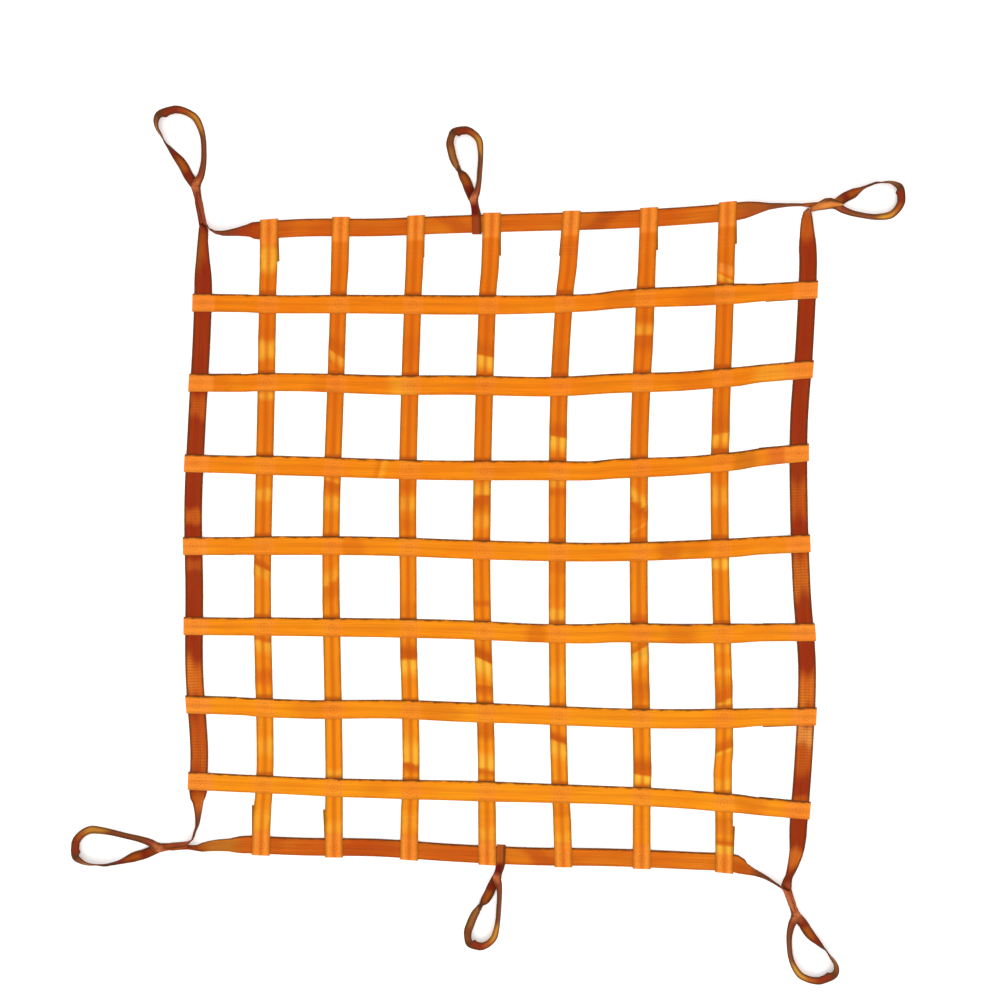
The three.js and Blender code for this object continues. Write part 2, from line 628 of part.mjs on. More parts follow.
// Eye of a loop between the two layers of its neck; the crown is straight between two sections
function eyeSections(loop, up, down) {
  const turn = radians(loop.heading);
  const along = new THREE.Vector3(Math.cos(turn), Math.sin(turn), 0);
  const aside = new THREE.Vector3(-Math.sin(turn), Math.cos(turn), 0).multiplyScalar(loop.side);
  const throat = new THREE.Vector3(loop.throatX, loop.throatY, 0);
  const rows = EYE_FORM.map((row, i) => {
    const bow = i <= CROWN_ROW ? loop.wideBow : loop.narrowBow;
    const bowed = row.aside + bow * Math.sin(Math.PI * Math.min(row.along / BOW_LENGTH, 1));
    return throat.clone()
      .addScaledVector(along, row.along * loop.length)
      .addScaledVector(aside, bowed * loop.width / 2);
  });
  const ends = (section) => new THREE.Vector3(section.centre.x, section.centre.y, 0);
  const before = up.slice(-2);
  const after = down.slice(0, 2);
  const plan = [...before.map(ends), ...rows, ...after.map(ends)];
  const leans = [...before, ...EYE_FORM, ...after].map((row) => row.lean);
  const line = new THREE.CatmullRomCurve3(plan, false, 'centripetal');
  const last = plan.length - 1;
  const crown = before.length + CROWN_ROW;
  const chord = plan[crown + 1].clone().sub(plan[crown]).normalize();
  const sections = [];
  for (let i = 1; i < last - 1; i += 1) {
    const parts = i === crown ? 1 : EYE_PARTS;
    for (let k = 0; k < parts; k += 1) {
      const f = k / parts;
      const straight = k === 0 && (i === crown || i === crown + 1);
      const heading = straight ? chord : line.getTangent((i + f) / last);
      const lean = mix(leans[i], leans[i + 1], f);
      const centre = line.getPoint((i + f) / last);
      centre.z = restHeight(lean, LOOP_WIDTH, LOOP_THICK);
      sections.push({ centre, lean, heading, width: LOOP_WIDTH, thick: LOOP_THICK,
        ...ribbonFrame(heading, lean, loop.side) });
    }
  }
  return sections.slice(1);
}

function cornerLoop(loop, stations) {
  const up = plySections(stations, -LOOP_PLY, LOOP_WIDTH, LOOP_THICK);
  const down = walkedBack(plySections(stations, LOOP_PLY, LOOP_WIDTH, LOOP_THICK));
  const sections = [...up, ...eyeSections(loop, up, down), ...down];
  return loft(sections.map(foldedRing), FOLDED, false);
}

// Endless loop that passes over a border, round its inner edge and back beneath
function middleLoop(loop, border) {
  const anchor = borderEdge(border, 'x', loop.wrapX, 0);
  const edge = BORDER_WIDTH / 2;
  const base = anchor.point.clone().addScaledVector(anchor.outward, edge + STEP_MARGIN);
  base.z = 0;
  const stations = neckStations(loop, base, RING_HALF);
  const pressed = { ...stations[0], heading: anchor.outward,
    ...ribbonFrame(anchor.outward, FLAT.lean, loop.side) };
  pressed.centre = base.clone().setZ(BORDER_MID);
  const free = stations.slice(1);
  const ply = (offset) => [
    ...plySections([pressed], Math.sign(offset) * TURN_RADIUS, loop.wrapWidth, LOOP_PRESSED),
    ...plySections(free, offset, LOOP_WIDTH, LOOP_THICK),
  ];
  const up = ply(-LOOP_PLY);
  const down = walkedBack(ply(LOOP_PLY));
  const turnCentre = anchor.point.clone()
    .addScaledVector(anchor.outward, -edge - TURN_CLEAR)
    .setZ(BORDER_MID);
  const wrap = [];
  for (let k = 0; k <= TURN_STEPS; k += 1) {
    const turn = Math.PI * k / TURN_STEPS;
    const out = anchor.outward.clone().multiplyScalar(Math.sin(turn)).addScaledVector(UP, -Math.cos(turn));
    wrap.push({ across: pressed.across, out, width: loop.wrapWidth, thick: LOOP_PRESSED,
      centre: turnCentre.clone().addScaledVector(out, -TURN_RADIUS) });
  }
  const sections = [...up, ...eyeSections(loop, up, down), ...down, ...wrap];
  return loft(sections.map(foldedRing), FOLDED, true);
}

const group = new THREE.Group();
group.name = 'cargo_lifting_net';

function addPiece(name, geometry, colour) {
  const material = new THREE.MeshStandardMaterial({
    color: colour, roughness: WEBBING_ROUGHNESS, metalness: 0,
  });
  const mesh = new THREE.Mesh(geometry, material);
  mesh.name = name;
  group.add(mesh);
}

const necks = Object.fromEntries(CORNER_LOOPS.map((loop) => [loop.name, cornerNeck(loop)]));
const borders = Object.fromEntries(BORDERS.map((border) => [border.name, borderSections(border, necks)]));

describeStraps(borders).forEach((strap) => {
  const colour = strap.alongAxis === 'y' ? COLOURS.strap_v : COLOURS.strap_h;
  addPiece(strap.name, loft(strapRings(strap), BAND, false), colour);
});
BORDERS.forEach(({ name }) => {
  addPiece(name, loft(borders[name].map(bandRing), BAND, false), COLOURS[name]);
});
CORNER_LOOPS.forEach((loop) => addPiece(loop.name, cornerLoop(loop, necks[loop.name]), COLOURS.loop));
MIDDLE_LOOPS.forEach((loop) => addPiece(loop.name, middleLoop(loop, borders[loop.border]), COLOURS.loop));

export default group;
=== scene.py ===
"""Looks of a flat cargo lifting net of sewn orange webbing, lying spread out on a pale floor.

Tables are in millimetres and meshes in metres. +Z is up, the floor is at z = 0 and the origin is
under the middle crossing of the net.
"""

from __future__ import annotations

import logging
import math
from dataclasses import dataclass, field, replace
from enum import Enum
from typing import Any, Callable, Sequence, TypeVar

import bmesh
import bpy
import numpy as np
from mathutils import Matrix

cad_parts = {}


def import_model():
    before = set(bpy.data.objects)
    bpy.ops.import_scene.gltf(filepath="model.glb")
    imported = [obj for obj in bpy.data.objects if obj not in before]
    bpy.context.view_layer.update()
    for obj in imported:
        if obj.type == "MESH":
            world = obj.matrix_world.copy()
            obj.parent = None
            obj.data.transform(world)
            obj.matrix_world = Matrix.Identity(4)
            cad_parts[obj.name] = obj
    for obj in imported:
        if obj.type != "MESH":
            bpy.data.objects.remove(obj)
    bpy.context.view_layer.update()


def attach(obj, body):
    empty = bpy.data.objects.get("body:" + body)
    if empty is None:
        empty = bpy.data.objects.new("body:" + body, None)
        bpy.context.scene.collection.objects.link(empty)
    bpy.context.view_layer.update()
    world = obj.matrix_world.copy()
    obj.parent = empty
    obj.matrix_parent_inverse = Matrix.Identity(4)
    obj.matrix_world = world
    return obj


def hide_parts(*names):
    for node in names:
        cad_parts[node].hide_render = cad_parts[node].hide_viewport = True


Array = np.ndarray
Pair = tuple[float, float]
LOG = logging.getLogger("cargo_net")
MM = 0.001
UP = np.array([0.0, 0.0, 1.0])
BODY = "root"
STUDIO_LIGHT = 1.34


class Lay(Enum):
    """Direction in which a strap of the net runs."""

    LENGTHWISE = "lengthwise"
    CROSSWISE = "crosswise"


class Held(Enum):
    """How a piece of webbing is kept in its shape."""

    LAID = "laid"
    FOLDED = "folded"


class Tone(Enum):
    """Shades of the dyed webbing and of its thread, as sRGB bytes; many are used as painted light and
    shade.
    """

    ORANGE = (241, 129, 5)
    ORANGE_NEAR = (248, 148, 14)
    AMBER = (228, 112, 4)
    AMBER_NEAR = (246, 144, 14)
    GOLD = (255, 186, 54)
    RUST = (206, 90, 4)
    DUSK = (158, 52, 4)
    SEWN = (250, 142, 46)
    EDGE_SHADE = (98, 50, 8)
    OLIVE = (158, 92, 14)
    TOP = (210, 98, 10)
    BOTTOM = (206, 96, 12)
    BRICK = (156, 48, 5)
    EMBER = (200, 92, 18)
    BLAZE = (214, 108, 26)
    FLAME = (228, 120, 16)
    CLAY = (182, 66, 5)
    PEACH = (234, 144, 64)
    NECK = (112, 16, 4)
    MAROON = (140, 34, 8)
    WRAP = (160, 62, 18)
    BRANCH = (178, 84, 20)
    SHADE = (96, 50, 18)
    DUN = (162, 102, 48)
    CROWN = (146, 44, 14)
    HONEY = (210, 138, 44)
    BROWN = (136, 70, 28)
    THROAT = (206, 112, 66)
    KNOT = (176, 66, 40)
    ROSE = (160, 68, 40)
    CORAL = (216, 92, 40)

    @property
    def linear(self) -> Array:
        """Share of light sent back to be seen in this shade in the studio, by the sRGB curve."""
        share = np.array(self.value) / 255.0
        return np.where(share <= 0.04045, share / 12.92, ((share + 0.055) / 1.055) ** 2.4) / STUDIO_LIGHT


@dataclass(frozen=True)
class Stock:
    """Sizes of the webbing and of the folded strap ends, in millimetres."""

    strap_width: float = 50.0
    strap_thick: float = 2.0
    border_width: float = 50.0
    border_thick: float = 3.0
    border_gathered: float = 28.0
    loop_width: float = 28.0
    loop_cut: float = 56.0
    loop_thick: float = 4.0
    loop_pressed: float = 2.0
    loop_slit: float = 0.3
    piece_gap: float = 0.3
    turn_clear: float = 1.0
    step_margin: float = 3.0
    step_length: float = 18.0
    tail_margin: float = 4.0
    tail_step: float = 20.0
    crossing_half: float = 32.0
    crosswise_sag: float = 1.8

    @property
    def floor_mid(self) -> float:
        """Height of the middle of a strap on the floor."""
        return self.strap_thick / 2

    @property
    def border_seat(self) -> float:
        """Height of the underside of a flat border."""
        return self.strap_thick + self.piece_gap

    @property
    def border_mid(self) -> float:
        """Height of the middle of a flat border."""
        return self.border_seat + self.border_thick / 2

    @property
    def turn_radius(self) -> float:
        """Radius of the middle of a strap folded round a border."""
        return self.border_thick / 2 + self.piece_gap + self.strap_thick / 2

    @property
    def over_strap_mid(self) -> float:
        """Height of the middle of a strap that lies on another."""
        return self.strap_thick * 1.5 + self.piece_gap

    @property
    def over_border_mid(self) -> float:
        """Height of the middle of a strap that lies on a border."""
        return self.border_mid + self.turn_radius

    @property
    def loop_ply(self) -> float:
        """Offset of each layer of a loop from the middle of its neck."""
        return (self.loop_thick + self.piece_gap) / 2

    @property
    def border_ply(self) -> float:
        """Offset of a border's end from the middle of a neck."""
        return self.loop_ply + self.loop_thick / 2 + self.piece_gap + self.border_thick / 2

    @property
    def neck_half(self) -> float:
        """Half the thickness of a corner neck."""
        return self.border_ply + self.border_thick / 2

    @property
    def ring_half(self) -> float:
        """Half the thickness of the neck of an endless loop."""
        return self.loop_ply + self.loop_thick / 2


STOCK = Stock()


@dataclass(frozen=True)
class StrapRow:
    """One strap: middle line at five stations, length and sideways shift of its two tails."""

    name: str
    line: tuple[float, ...]
    tails: Pair
    shifts: Pair


@dataclass(frozen=True)
class Fold:
    """A fold across a strap: crest along it, height, half length, run of the crease edge to edge."""

    at: float
    rise: float
    reach: float
    slant: float = 0.0


@dataclass(frozen=True)
class BorderRow:
    """One place on a border: middle, lean (90 flat, 0 on edge) and width."""

    x: float
    y: float
    lean: float = 90.0
    width: float = STOCK.border_width


@dataclass(frozen=True)
class Patch:
    """A stretch of webbing with a shade of its own: middle, half length, shade, share and slant.

    A side of 1 or -1 keeps it to that edge of the webbing.
    """

    at: float
    half: float
    tone: Tone
    share: float
    slant: float = 0.0
    side: int = 0


@dataclass(frozen=True)
class Sway:
    """A place where the edges of a strap wander: place along it, and shift of both its edges."""

    at: float
    low: float
    high: float


@dataclass(frozen=True)
class Crease:
    """A sharp crease: place, run edge to edge, reach and share of its painted highlight and shade."""

    at: float
    slant: float
    light: float
    dark: float
    lit: float
    dim: float


@dataclass(frozen=True)
class EyeRow:
    """One place on an eye: along (of its length), aside (of half its width), lean and shade of painted
    light.
    """

    along: float
    aside: float
    lean: float
    tone: Tone


@dataclass(frozen=True)
class NeckRow:
    """One place on a neck: share of its length, how narrow and pressed the sewing makes it, and how dark
    it is.
    """

    share: float
    narrow: float
    press: float
    dark: float


@dataclass(frozen=True)
class LoopRow:
    """One eye: neck base, throat, heading in degrees, length, width, bows, leans, shade and side.

    The leaf is how far the border that starts in the neck opens out of it, and sooner is by how many
    degrees the first limb is ahead of the others where it turns over.
    """

    name: str
    base: Pair
    throat: Pair
    heading: float
    length: float
    width: float
    bows: Pair
    leans: Pair
    tone: Tone
    side: int = 1
    leaf: float = 0.0
    sooner: float = 0.0

    @property
    def direction(self) -> Array:
        """Direction in which the eye points away from its throat."""
        turn = math.radians(self.heading)
        return np.array([math.cos(turn), math.sin(turn), 0.0])


@dataclass(frozen=True)
class WrapRow(LoopRow):
    """An eye that passes round a border: the border, and the width and shade of the wrap."""

    border: str = ""
    wrap_width: float = 26.0
    wrap_tone: Tone = Tone.WRAP


Row = TypeVar("Row")


def rows_of(kind: Callable[..., Row], table: Sequence[Sequence[Any]]) -> tuple[Row, ...]:
    """Rows of one kind from their plain values."""
    return tuple(kind(*values) for values in table)


def named_rows(
    kind: Callable[..., Row], tables: dict[str, Sequence[Sequence[Any]]]
) -> dict[str, tuple[Row, ...]]:
    """Rows of one kind for each piece, by its name."""
    return {name: rows_of(kind, table) for name, table in tables.items()}


V_STATIONS = (-850.0, -456.0, 0.0, 460.0, 907.0)
V_ROWS = rows_of(StrapRow, [
    ("strap_v1", (-622, -611, -613, -605, -599), (135, 115), (-6, 6)),
    ("strap_v2", (-417, -418, -422, -410, -398), (129, 112), (-6, 0)),
    ("strap_v3", (-207, -202, -208, -202, -188), (130, 114), (0, 2)),
    ("strap_v4", (12, 9, 0, 8, 24), (130, 116), (0, 5)),
    ("strap_v5", (224, 213, 211, 217, 246), (130, 120), (1, -3)),
    ("strap_v6", (444, 444, 440, 447, 463), (130, 115), (0, 5)),
    ("strap_v7", (675, 674, 668, 670, 683), (128, 115), (6, 5)),
])
H_STATIONS = (-798.0, -417.0, 0.0, 442.0, 896.0)
H_ROWS = rows_of(StrapRow, [
    ("strap_h1", (692, 689, 685, 703, 727), (138, 140), (0, -2)),
    ("strap_h2", (468, 465, 459, 468, 504), (140, 138), (2, 0)),
    ("strap_h3", (242, 232, 223, 230, 272), (142, 136), (0, 2)),
    ("strap_h4", (11, 11, 0, -1, 18), (140, 141), (-1, 0)),
    ("strap_h5", (-213, -218, -228, -233, -230), (139, 140), (0, 1)),
    ("strap_h6", (-433, -446, -456, -470, -466), (140, 144), (1, -4)),
    ("strap_h7", (-647, -666, -677, -692, -728), (137, 140), (0, 2)),
])
FOLDS = named_rows(Fold, {
    "strap_v1": [(585, 7, 45), (-72, 10, 34, -30), (-364, 6, 34, 6)],
    "strap_v2": [(554, 7, 40, -16), (154, 5, 34, 8), (-140, 5, 38, 12)],
    "strap_v3": [(575, 5, 45), (-308, 11, 40, -8), (-545, 5, 45)],
    "strap_v4": [
        (540, 10, 38, -10), (94, 12, 48), (-160, 4, 30), (-310, 12, 34, -24), (-396, 5, 24),
        (-546, 7, 45),
    ],
    "strap_v5": [(316, 10, 40), (-132, 6, 45, 6), (-550, 9, 38, -26)],
    "strap_v6": [
        (634, 6, 30), (560, 6, 38), (86, 11, 34, 36), (-304, 10, 28, 16), (-400, 5, 30),
        (-618, 10, 36),
    ],
    "strap_v7": [(786, 6, 28, -16), (330, 8, 42), (-390, 9, 32, 14), (-575, 9, 40, 26)],
    "strap_h1": [(329, 5, 50)],
    "strap_h3": [(-290, 5, 34, 10)],
    "strap_h5": [(552, 4, 55), (120, 4, 50)],
})

SWAYS = named_rows(Sway, {
    "strap_v1": [(-600, 5, 3), (-280, -4, -5), (-60, -3, -5), (150, -2, -3), (600, -1, -2)],
    "strap_v2": [(-600, 1, 0), (-290, -2, -3), (150, -3, -5), (380, -2, -4), (600, 0, -3)],
    "strap_v3": [(-600, 3, 1), (-285, -3, -5), (-60, -1, -3), (160, -4, -4), (600, -1, -2)],
    "strap_v4": [(-580, 0, -2), (-290, -4, -5), (115, -4, -4), (600, -3, -4)],
    "strap_v5": [(-560, -2, -4), (-120, -2, -4), (160, -3, -3), (600, -3, -4)],
    "strap_v6": [(-600, 1, 2), (-290, -4, -3), (110, -5, -4), (330, -6, -5), (600, -2, 1)],
    "strap_v7": [
        (-620, -5, -3), (-530, 1, 1), (-120, -3, -3), (200, -6, -5), (330, -4, -3), (600, 1, 1),
    ],
    "strap_h1": [(-540, -3, -2), (-300, -1, 2), (-60, -1, 4), (300, -3, -4), (400, 1, 4), (600, -3, 4)],
    "strap_h2": [(-500, 3, 4), (-260, -3, 2), (-60, 0, 5), (200, -6, -1), (370, -1, 4), (560, -5, -1)],
    "strap_h3": [
        (-500, -2, 3), (-200, -4, 1), (150, -3, 3), (300, -5, -1), (380, -2, 4), (600, -5, -3),
    ],
    "strap_h4": [(-500, -1, 2), (-200, 1, 4), (150, -4, 0), (300, -5, -2), (560, -4, -1)],
    "strap_h5": [(-500, 0, 2), (-80, 2, 6), (150, -3, -1), (290, -5, 0), (380, -1, 4), (560, -4, 1)],
    "strap_h6": [(-480, -4, -1), (-250, 3, 6), (-60, -2, 4), (200, -2, 2), (560, -5, 0)],
    "strap_h7": [(-540, 1, 1), (-200, -1, 4), (0, -2, 5), (300, 0, 2), (560, 1, 4)],
})
# Creases paint a highlight (GOLD) on the side of a fold that faces the light, and a shade (RUST) on the
# side that faces away.
CREASES = named_rows(Crease, {
    "strap_v1": [(-50, -24, -40, 30, 0.5, 0.9), (-256, -10, -45, 20, 0.6, 0.7)],
    "strap_v2": [
        (548, -30, -35, 60, 0.5, 0.6), (190, -14, 15, -40, 0.3, 0.7), (-92, 30, 50, -70, 0.5, 0.45),
    ],
    "strap_v3": [(-306, 0, -60, 60, 0.9, 0.9), (-597, -10, 90, -36, 0.7, 0.9)],
    "strap_v4": [
        (542, -10, -50, 60, 0.8, 0.5), (153, 6, 45, -48, 0.6, 0.9), (-308, -24, -65, 50, 0.95, 0.9),
        (-378, -6, 0, -42, 0.0, 0.7), (-614, -6, 60, -26, 0.9, 0.7),
    ],
    "strap_v5": [(316, -8, -55, 55, 0.8, 0.7), (-537, -18, -65, 32, 0.8, 0.9)],
    "strap_v6": [
        (603, 0, 40, -70, 0.5, 0.6), (129, -38, 45, -45, 0.7, 0.8), (66, 30, -12, 0, 0.4, 0.0),
        (-280, 27, -65, 25, 0.9, 0.7), (-630, -8, -32, 68, 0.9, 0.9),
    ],
    "strap_v7": [
        (765, -25, -27, 0, 0.6, 0.0), (325, 10, -45, 100, 0.7, 0.45), (-423, 21, -22, 60, 0.7, 0.8),
        (-560, 20, -14, 40, 0.7, 0.7), (-828, -5, -32, 24, 0.9, 0.9),
    ],
    "strap_h3": [(-288, 14, 25, -20, 0.3, 0.4)],
})
# Patches of the straps: GOLD ones are painted highlight and RUST ones painted shade, where the webbing
# tilts towards or away from the light.
STRAP_PATCHES = named_rows(Patch, {
    "strap_v1": [
        (815, 45, Tone.GOLD, 0.75), (560, 30, Tone.GOLD, 0.7), (432, 14, Tone.GOLD, 0.5),
        (155, 22, Tone.GOLD, 0.5), (-355, 28, Tone.AMBER, 0.95), (-550, 30, Tone.GOLD, 0.4),
        (-755, 35, Tone.GOLD, 0.4),
    ],
    "strap_v2": [(130, 25, Tone.GOLD, 0.45), (-628, 16, Tone.GOLD, 0.6), (-780, 25, Tone.GOLD, 0.4)],
    "strap_v3": [
        (560, 40, Tone.RUST, 0.35), (180, 18, Tone.RUST, 0.5), (130, 25, Tone.GOLD, 0.4),
        (70, 22, Tone.RUST, 0.4), (-165, 25, Tone.RUST, 0.35), (-760, 30, Tone.GOLD, 0.4),
    ],
    "strap_v4": [
        (80, 25, Tone.GOLD, 0.35), (-150, 10, Tone.RUST, 0.6), (-505, 30, Tone.RUST, 0.7),
        (-795, 25, Tone.GOLD, 0.4),
    ],
    "strap_v5": [
        (845, 25, Tone.RUST, 0.5), (530, 40, Tone.RUST, 0.4), (188, 14, Tone.GOLD, 0.4),
        (162, 14, Tone.RUST, 0.6), (-48, 22, Tone.RUST, 0.45), (-182, 22, Tone.GOLD, 0.7),
        (-355, 40, Tone.GOLD, 0.35), (-730, 22, Tone.RUST, 0.4), (-815, 28, Tone.GOLD, 0.4),
    ],
    "strap_v6": [(-195, 20, Tone.RUST, 0.7), (-395, 40, Tone.RUST, 0.6)],
    "strap_v7": [
        (150, 35, Tone.GOLD, 0.45), (-40, 18, Tone.GOLD, 0.85), (-275, 16, Tone.GOLD, 0.4),
        (-340, 14, Tone.GOLD, 0.4), (-657, 20, Tone.GOLD, 0.5), (-770, 32, Tone.RUST, 0.5),
    ],
    "strap_h1": [(385, 60, Tone.RUST, 0.4), (620, 80, Tone.RUST, 0.3), (905, 25, Tone.CORAL, 0.5)],
    "strap_h2": [
        (-735, 40, Tone.RUST, 0.3), (-440, 50, Tone.RUST, 0.35), (-230, 40, Tone.GOLD, 0.35),
        (590, 60, Tone.RUST, 0.3), (810, 60, Tone.GOLD, 0.4),
    ],
    "strap_h3": [(735, 40, Tone.BROWN, 0.35), (825, 35, Tone.CORAL, 0.6)],
    "strap_h4": [(-365, 40, Tone.RUST, 0.4), (525, 45, Tone.RUST, 0.6), (600, 40, Tone.RUST, 0.3)],
    "strap_h5": [(150, 35, Tone.RUST, 0.5), (555, 55, Tone.RUST, 0.45)],
    "strap_h6": [(-120, 70, Tone.RUST, 0.35), (-480, 70, Tone.RUST, 0.25)],
    "strap_h7": [(745, 55, Tone.RUST, 0.4), (-300, 50, Tone.RUST, 0.2)],
})

BORDER_ROWS = named_rows(BorderRow, {
    "border_top": [
        (-764, 897, 4, 27), (-748, 888, 8, 30), (-728, 885, 14, 34), (-690, 888, 24, 40),
        (-655, 892, 40, 47), (-630, 894), (-498, 902), (-294, 903), (-87, 911), (132, 917), (350, 923),
        (574, 936), (712, 948), (760, 955, 50, 44), (800, 960, 22, 36), (850, 964, 8, 30),
        (890, 965, 4, 27),
    ],
    "border_right": [
        (912, 953, 18, 27), (907, 943, 38, 32), (905, 925, 44, 40), (906, 882, 60, 45), (909, 838),
        (910, 806), (900, 580), (884, 350), (884, 120), (892, -109), (907, -336), (898, -566),
        (883, -765), (876, -840, 52, 46), (867, -876, 42, 40), (855, -912, 26, 33),
        (848, -938, 46, 37), (852, -947, 36, 33),
    ],
    "border_bottom": [
        (834, -943, 3, 27), (809, -926, 6, 30), (784, -911, 12, 33), (759, -900, 20, 38),
        (734, -890, 38, 44), (708, -878), (574, -869), (350, -860), (132, -857), (-87, -847),
        (-294, -833), (-498, -830), (-655, -824), (-708, -823, 42, 46), (-756, -825, 34, 44),
        (-784, -830, 34, 36), (-800, -832, 22, 29),
    ],
    "border_left": [
        (-813, -810, 2, 27), (-806, -790, 4, 29), (-799, -771, 8, 31), (-795, -736, 20, 38),
        (-795, -704, 34, 44), (-797, -676), (-794, -566), (-808, -336), (-808, -109), (-811, 120),
        (-801, 350), (-788, 580), (-783, 725), (-782, 806, 48, 47), (-782, 840, 40, 44),
        (-782, 868, 36, 40), (-781, 897, 42, 34), (-784, 907, 30, 30),
    ],
})
BORDER_PATCHES = named_rows(Patch, {
    "border_top": [
        (-800, 40, Tone.ROSE, 0.8), (-690, 80, Tone.BRICK, 0.9), (-590, 70, Tone.CLAY, 0.4),
        (-500, 40, Tone.FLAME, 0.2, 50), (-140, 55, Tone.FLAME, 0.5, -70),
        (-80, 40, Tone.CLAY, 0.4, -60), (134, 110, Tone.FLAME, 0.45), (335, 40, Tone.DUSK, 0.55, 60),
        (600, 60, Tone.FLAME, 0.3, 40), (775, 80, Tone.BROWN, 0.6), (905, 40, Tone.MAROON, 0.6),
    ],
    "border_right": [
        (968, 30, Tone.PEACH, 0.85), (910, 50, Tone.EMBER, 0.8), (140, 62, Tone.EMBER, 0.7),
        (-68, 70, Tone.BLAZE, 0.7, 30), (-395, 58, Tone.BLAZE, 0.95, 16),
        (-520, 38, Tone.PEACH, 0.85, -20), (-585, 55, Tone.EMBER, 0.8), (-700, 16, Tone.EMBER, 0.6),
        (-862, 34, Tone.BLAZE, 0.9), (-945, 40, Tone.MAROON, 0.7),
    ],
    "border_bottom": [
        (868, 40, Tone.THROAT, 0.9), (800, 50, Tone.SHADE, 0.5), (560, 160, Tone.FLAME, 0.85),
        (320, 160, Tone.FLAME, 0.6), (92, 42, Tone.FLAME, 0.7, 40), (160, 36, Tone.CLAY, 0.4, 40),
        (-310, 110, Tone.CLAY, 0.75), (-600, 50, Tone.CLAY, 0.35, -30), (-735, 60, Tone.HONEY, 0.6),
    ],
    "border_left": [
        (770, 100, Tone.MAROON, 0.4), (860, 60, Tone.EMBER, 0.55), (845, 75, Tone.MAROON, 0.85, 0, -1),
        (845, 75, Tone.OLIVE, 0.7, 0, 1), (403, 38, Tone.EMBER, 0.75, 14), (94, 26, Tone.BLAZE, 0.7),
        (-42, 18, Tone.EMBER, 0.5), (-362, 62, Tone.BLAZE, 0.95, 30), (-540, 105, Tone.EMBER, 0.75),
        (-712, 40, Tone.BLAZE, 0.85), (-830, 50, Tone.ROSE, 0.7),
    ],
})

CORNER_ROWS = (
    LoopRow(
        "loop_top_left", (-783, 913), (-803, 1016), 104, 227, 119, (0.02, 0), (15, 60), Tone.ROSE,
    ),
    LoopRow(
        "loop_top_right", (917, 959), (983, 967), 2, 190, 94, (0.36, 0.06), (22, 62), Tone.PEACH,
        leaf=16, sooner=34,
    ),
    LoopRow(
        "loop_bottom_right", (851, -952), (875, -1020), -71, 199, 109, (0, -0.08), (22, 58),
        Tone.THROAT,
    ),
    LoopRow(
        "loop_bottom_left", (-825, -825), (-905, -832), 175.7, 238, 102, (0.36, 0.27), (15, 60),
        Tone.BRANCH, sooner=24,
    ),
)
WRAP_ROWS = (
    WrapRow(
        "loop_top_middle", (-18, 0), (-26, 979), 95.5, 199, 87, (0.22, 0.22), (90, 62),
        Tone.NECK, border="border_top",
    ),
    WrapRow(
        "loop_bottom_middle", (50.5, 0), (39, -914), -102.6, 203, 80, (0.16, 0.2), (90, 62),
        Tone.NECK, -1, border="border_bottom", wrap_width=24, wrap_tone=Tone.BRANCH,
    ),
)
SHOULDER_ROW = 8
# The shades along an eye are painted light and shade: darker where a limb faces away from the light,
# golden where it faces it, and a highlight at the throat.
EYE_ROWS = rows_of(EyeRow, [
    (0.17, 0.22, 80, Tone.MAROON), (0.26, 0.29, 82, Tone.BRANCH), (0.35, 0.4, 64, Tone.BRANCH),
    (0.45, 0.58, 36, Tone.MAROON), (0.54, 0.73, 16, Tone.SHADE), (0.61, 0.86, 2, Tone.SHADE),
    (0.71, 0.96, -8, Tone.DUN), (0.82, 1.08, -18, Tone.DUN), (0.915, 1.03, -40, Tone.BROWN),
    (0.97, 0.85, -54, Tone.SHADE), (0.985, 0.48, -62, Tone.CROWN), (0.985, 0.09, -60, Tone.CROWN),
    (0.93, -0.36, -46, Tone.BRANCH), (0.83, -0.74, -42, Tone.HONEY), (0.71, -0.87, -32, Tone.HONEY),
    (0.56, -0.89, -21, Tone.BROWN), (0.4, -0.78, -19, Tone.BROWN), (0.24, -0.6, -22, Tone.BROWN),
    (0.11, -0.34, -32, Tone.ROSE), (0.04, -0.1, -46, Tone.THROAT),
])
MIDDLE_EYE_ROWS = rows_of(EyeRow, [
    (0.17, 0.12, 82, Tone.MAROON), (0.26, 0.17, 86, Tone.BRANCH), (0.34, 0.3, 72, Tone.BRANCH),
    (0.42, 0.5, 22, Tone.SHADE), (0.5, 0.66, -34, Tone.DUN), (0.61, 0.86, -46, Tone.DUN),
    (0.71, 0.98, -48, Tone.DUN), (0.82, 1.1, -48, Tone.BROWN),
]) + EYE_ROWS[SHOULDER_ROW:]
# Far and near tones of each lay of strap. Both are one webbing: the crosswise straps are painted lighter
# and yellower than the lengthwise ones, standing in for the sheen of the weave.
STRAP_TONES = {
    Lay.LENGTHWISE: (Tone.AMBER, Tone.AMBER_NEAR),
    Lay.CROSSWISE: (Tone.ORANGE, Tone.ORANGE_NEAR),
}
# Places up the net between which a strap goes from its near to its far tone: painted light, the near
# tone lighter and yellower on the side that the light comes from.
PAINTED_LIGHT_FADE = (-800.0, 750.0)
# Rows of an eye where its crown starts and where its first limb turns over, the lean in degrees that
# is left there, and the share of its length over which it bows.
CROWN_ROW = 10
TURNING_ROWS = slice(2, 5)
ON_EDGE = 4.0
BOW_LENGTH = 0.9
NECK_ROWS = rows_of(NeckRow, [
    (0.0, 0.95, 0.95, 0.5), (0.28, 0.84, 0.72, 0.0), (0.57, 0.78, 0.66, 0.1), (0.85, 0.84, 0.72, 0.85),
    (1.0, 0.95, 0.9, 0.6),
])
# Sections of a neck that a border's end goes into, and shares of its offset, width and thickness
# that are left at its tip.
BORDER_NECK_ROWS = 4
TIP_OFFSET = 0.96
TIP_WIDTH = 0.35
TIP_THICK = 0.25
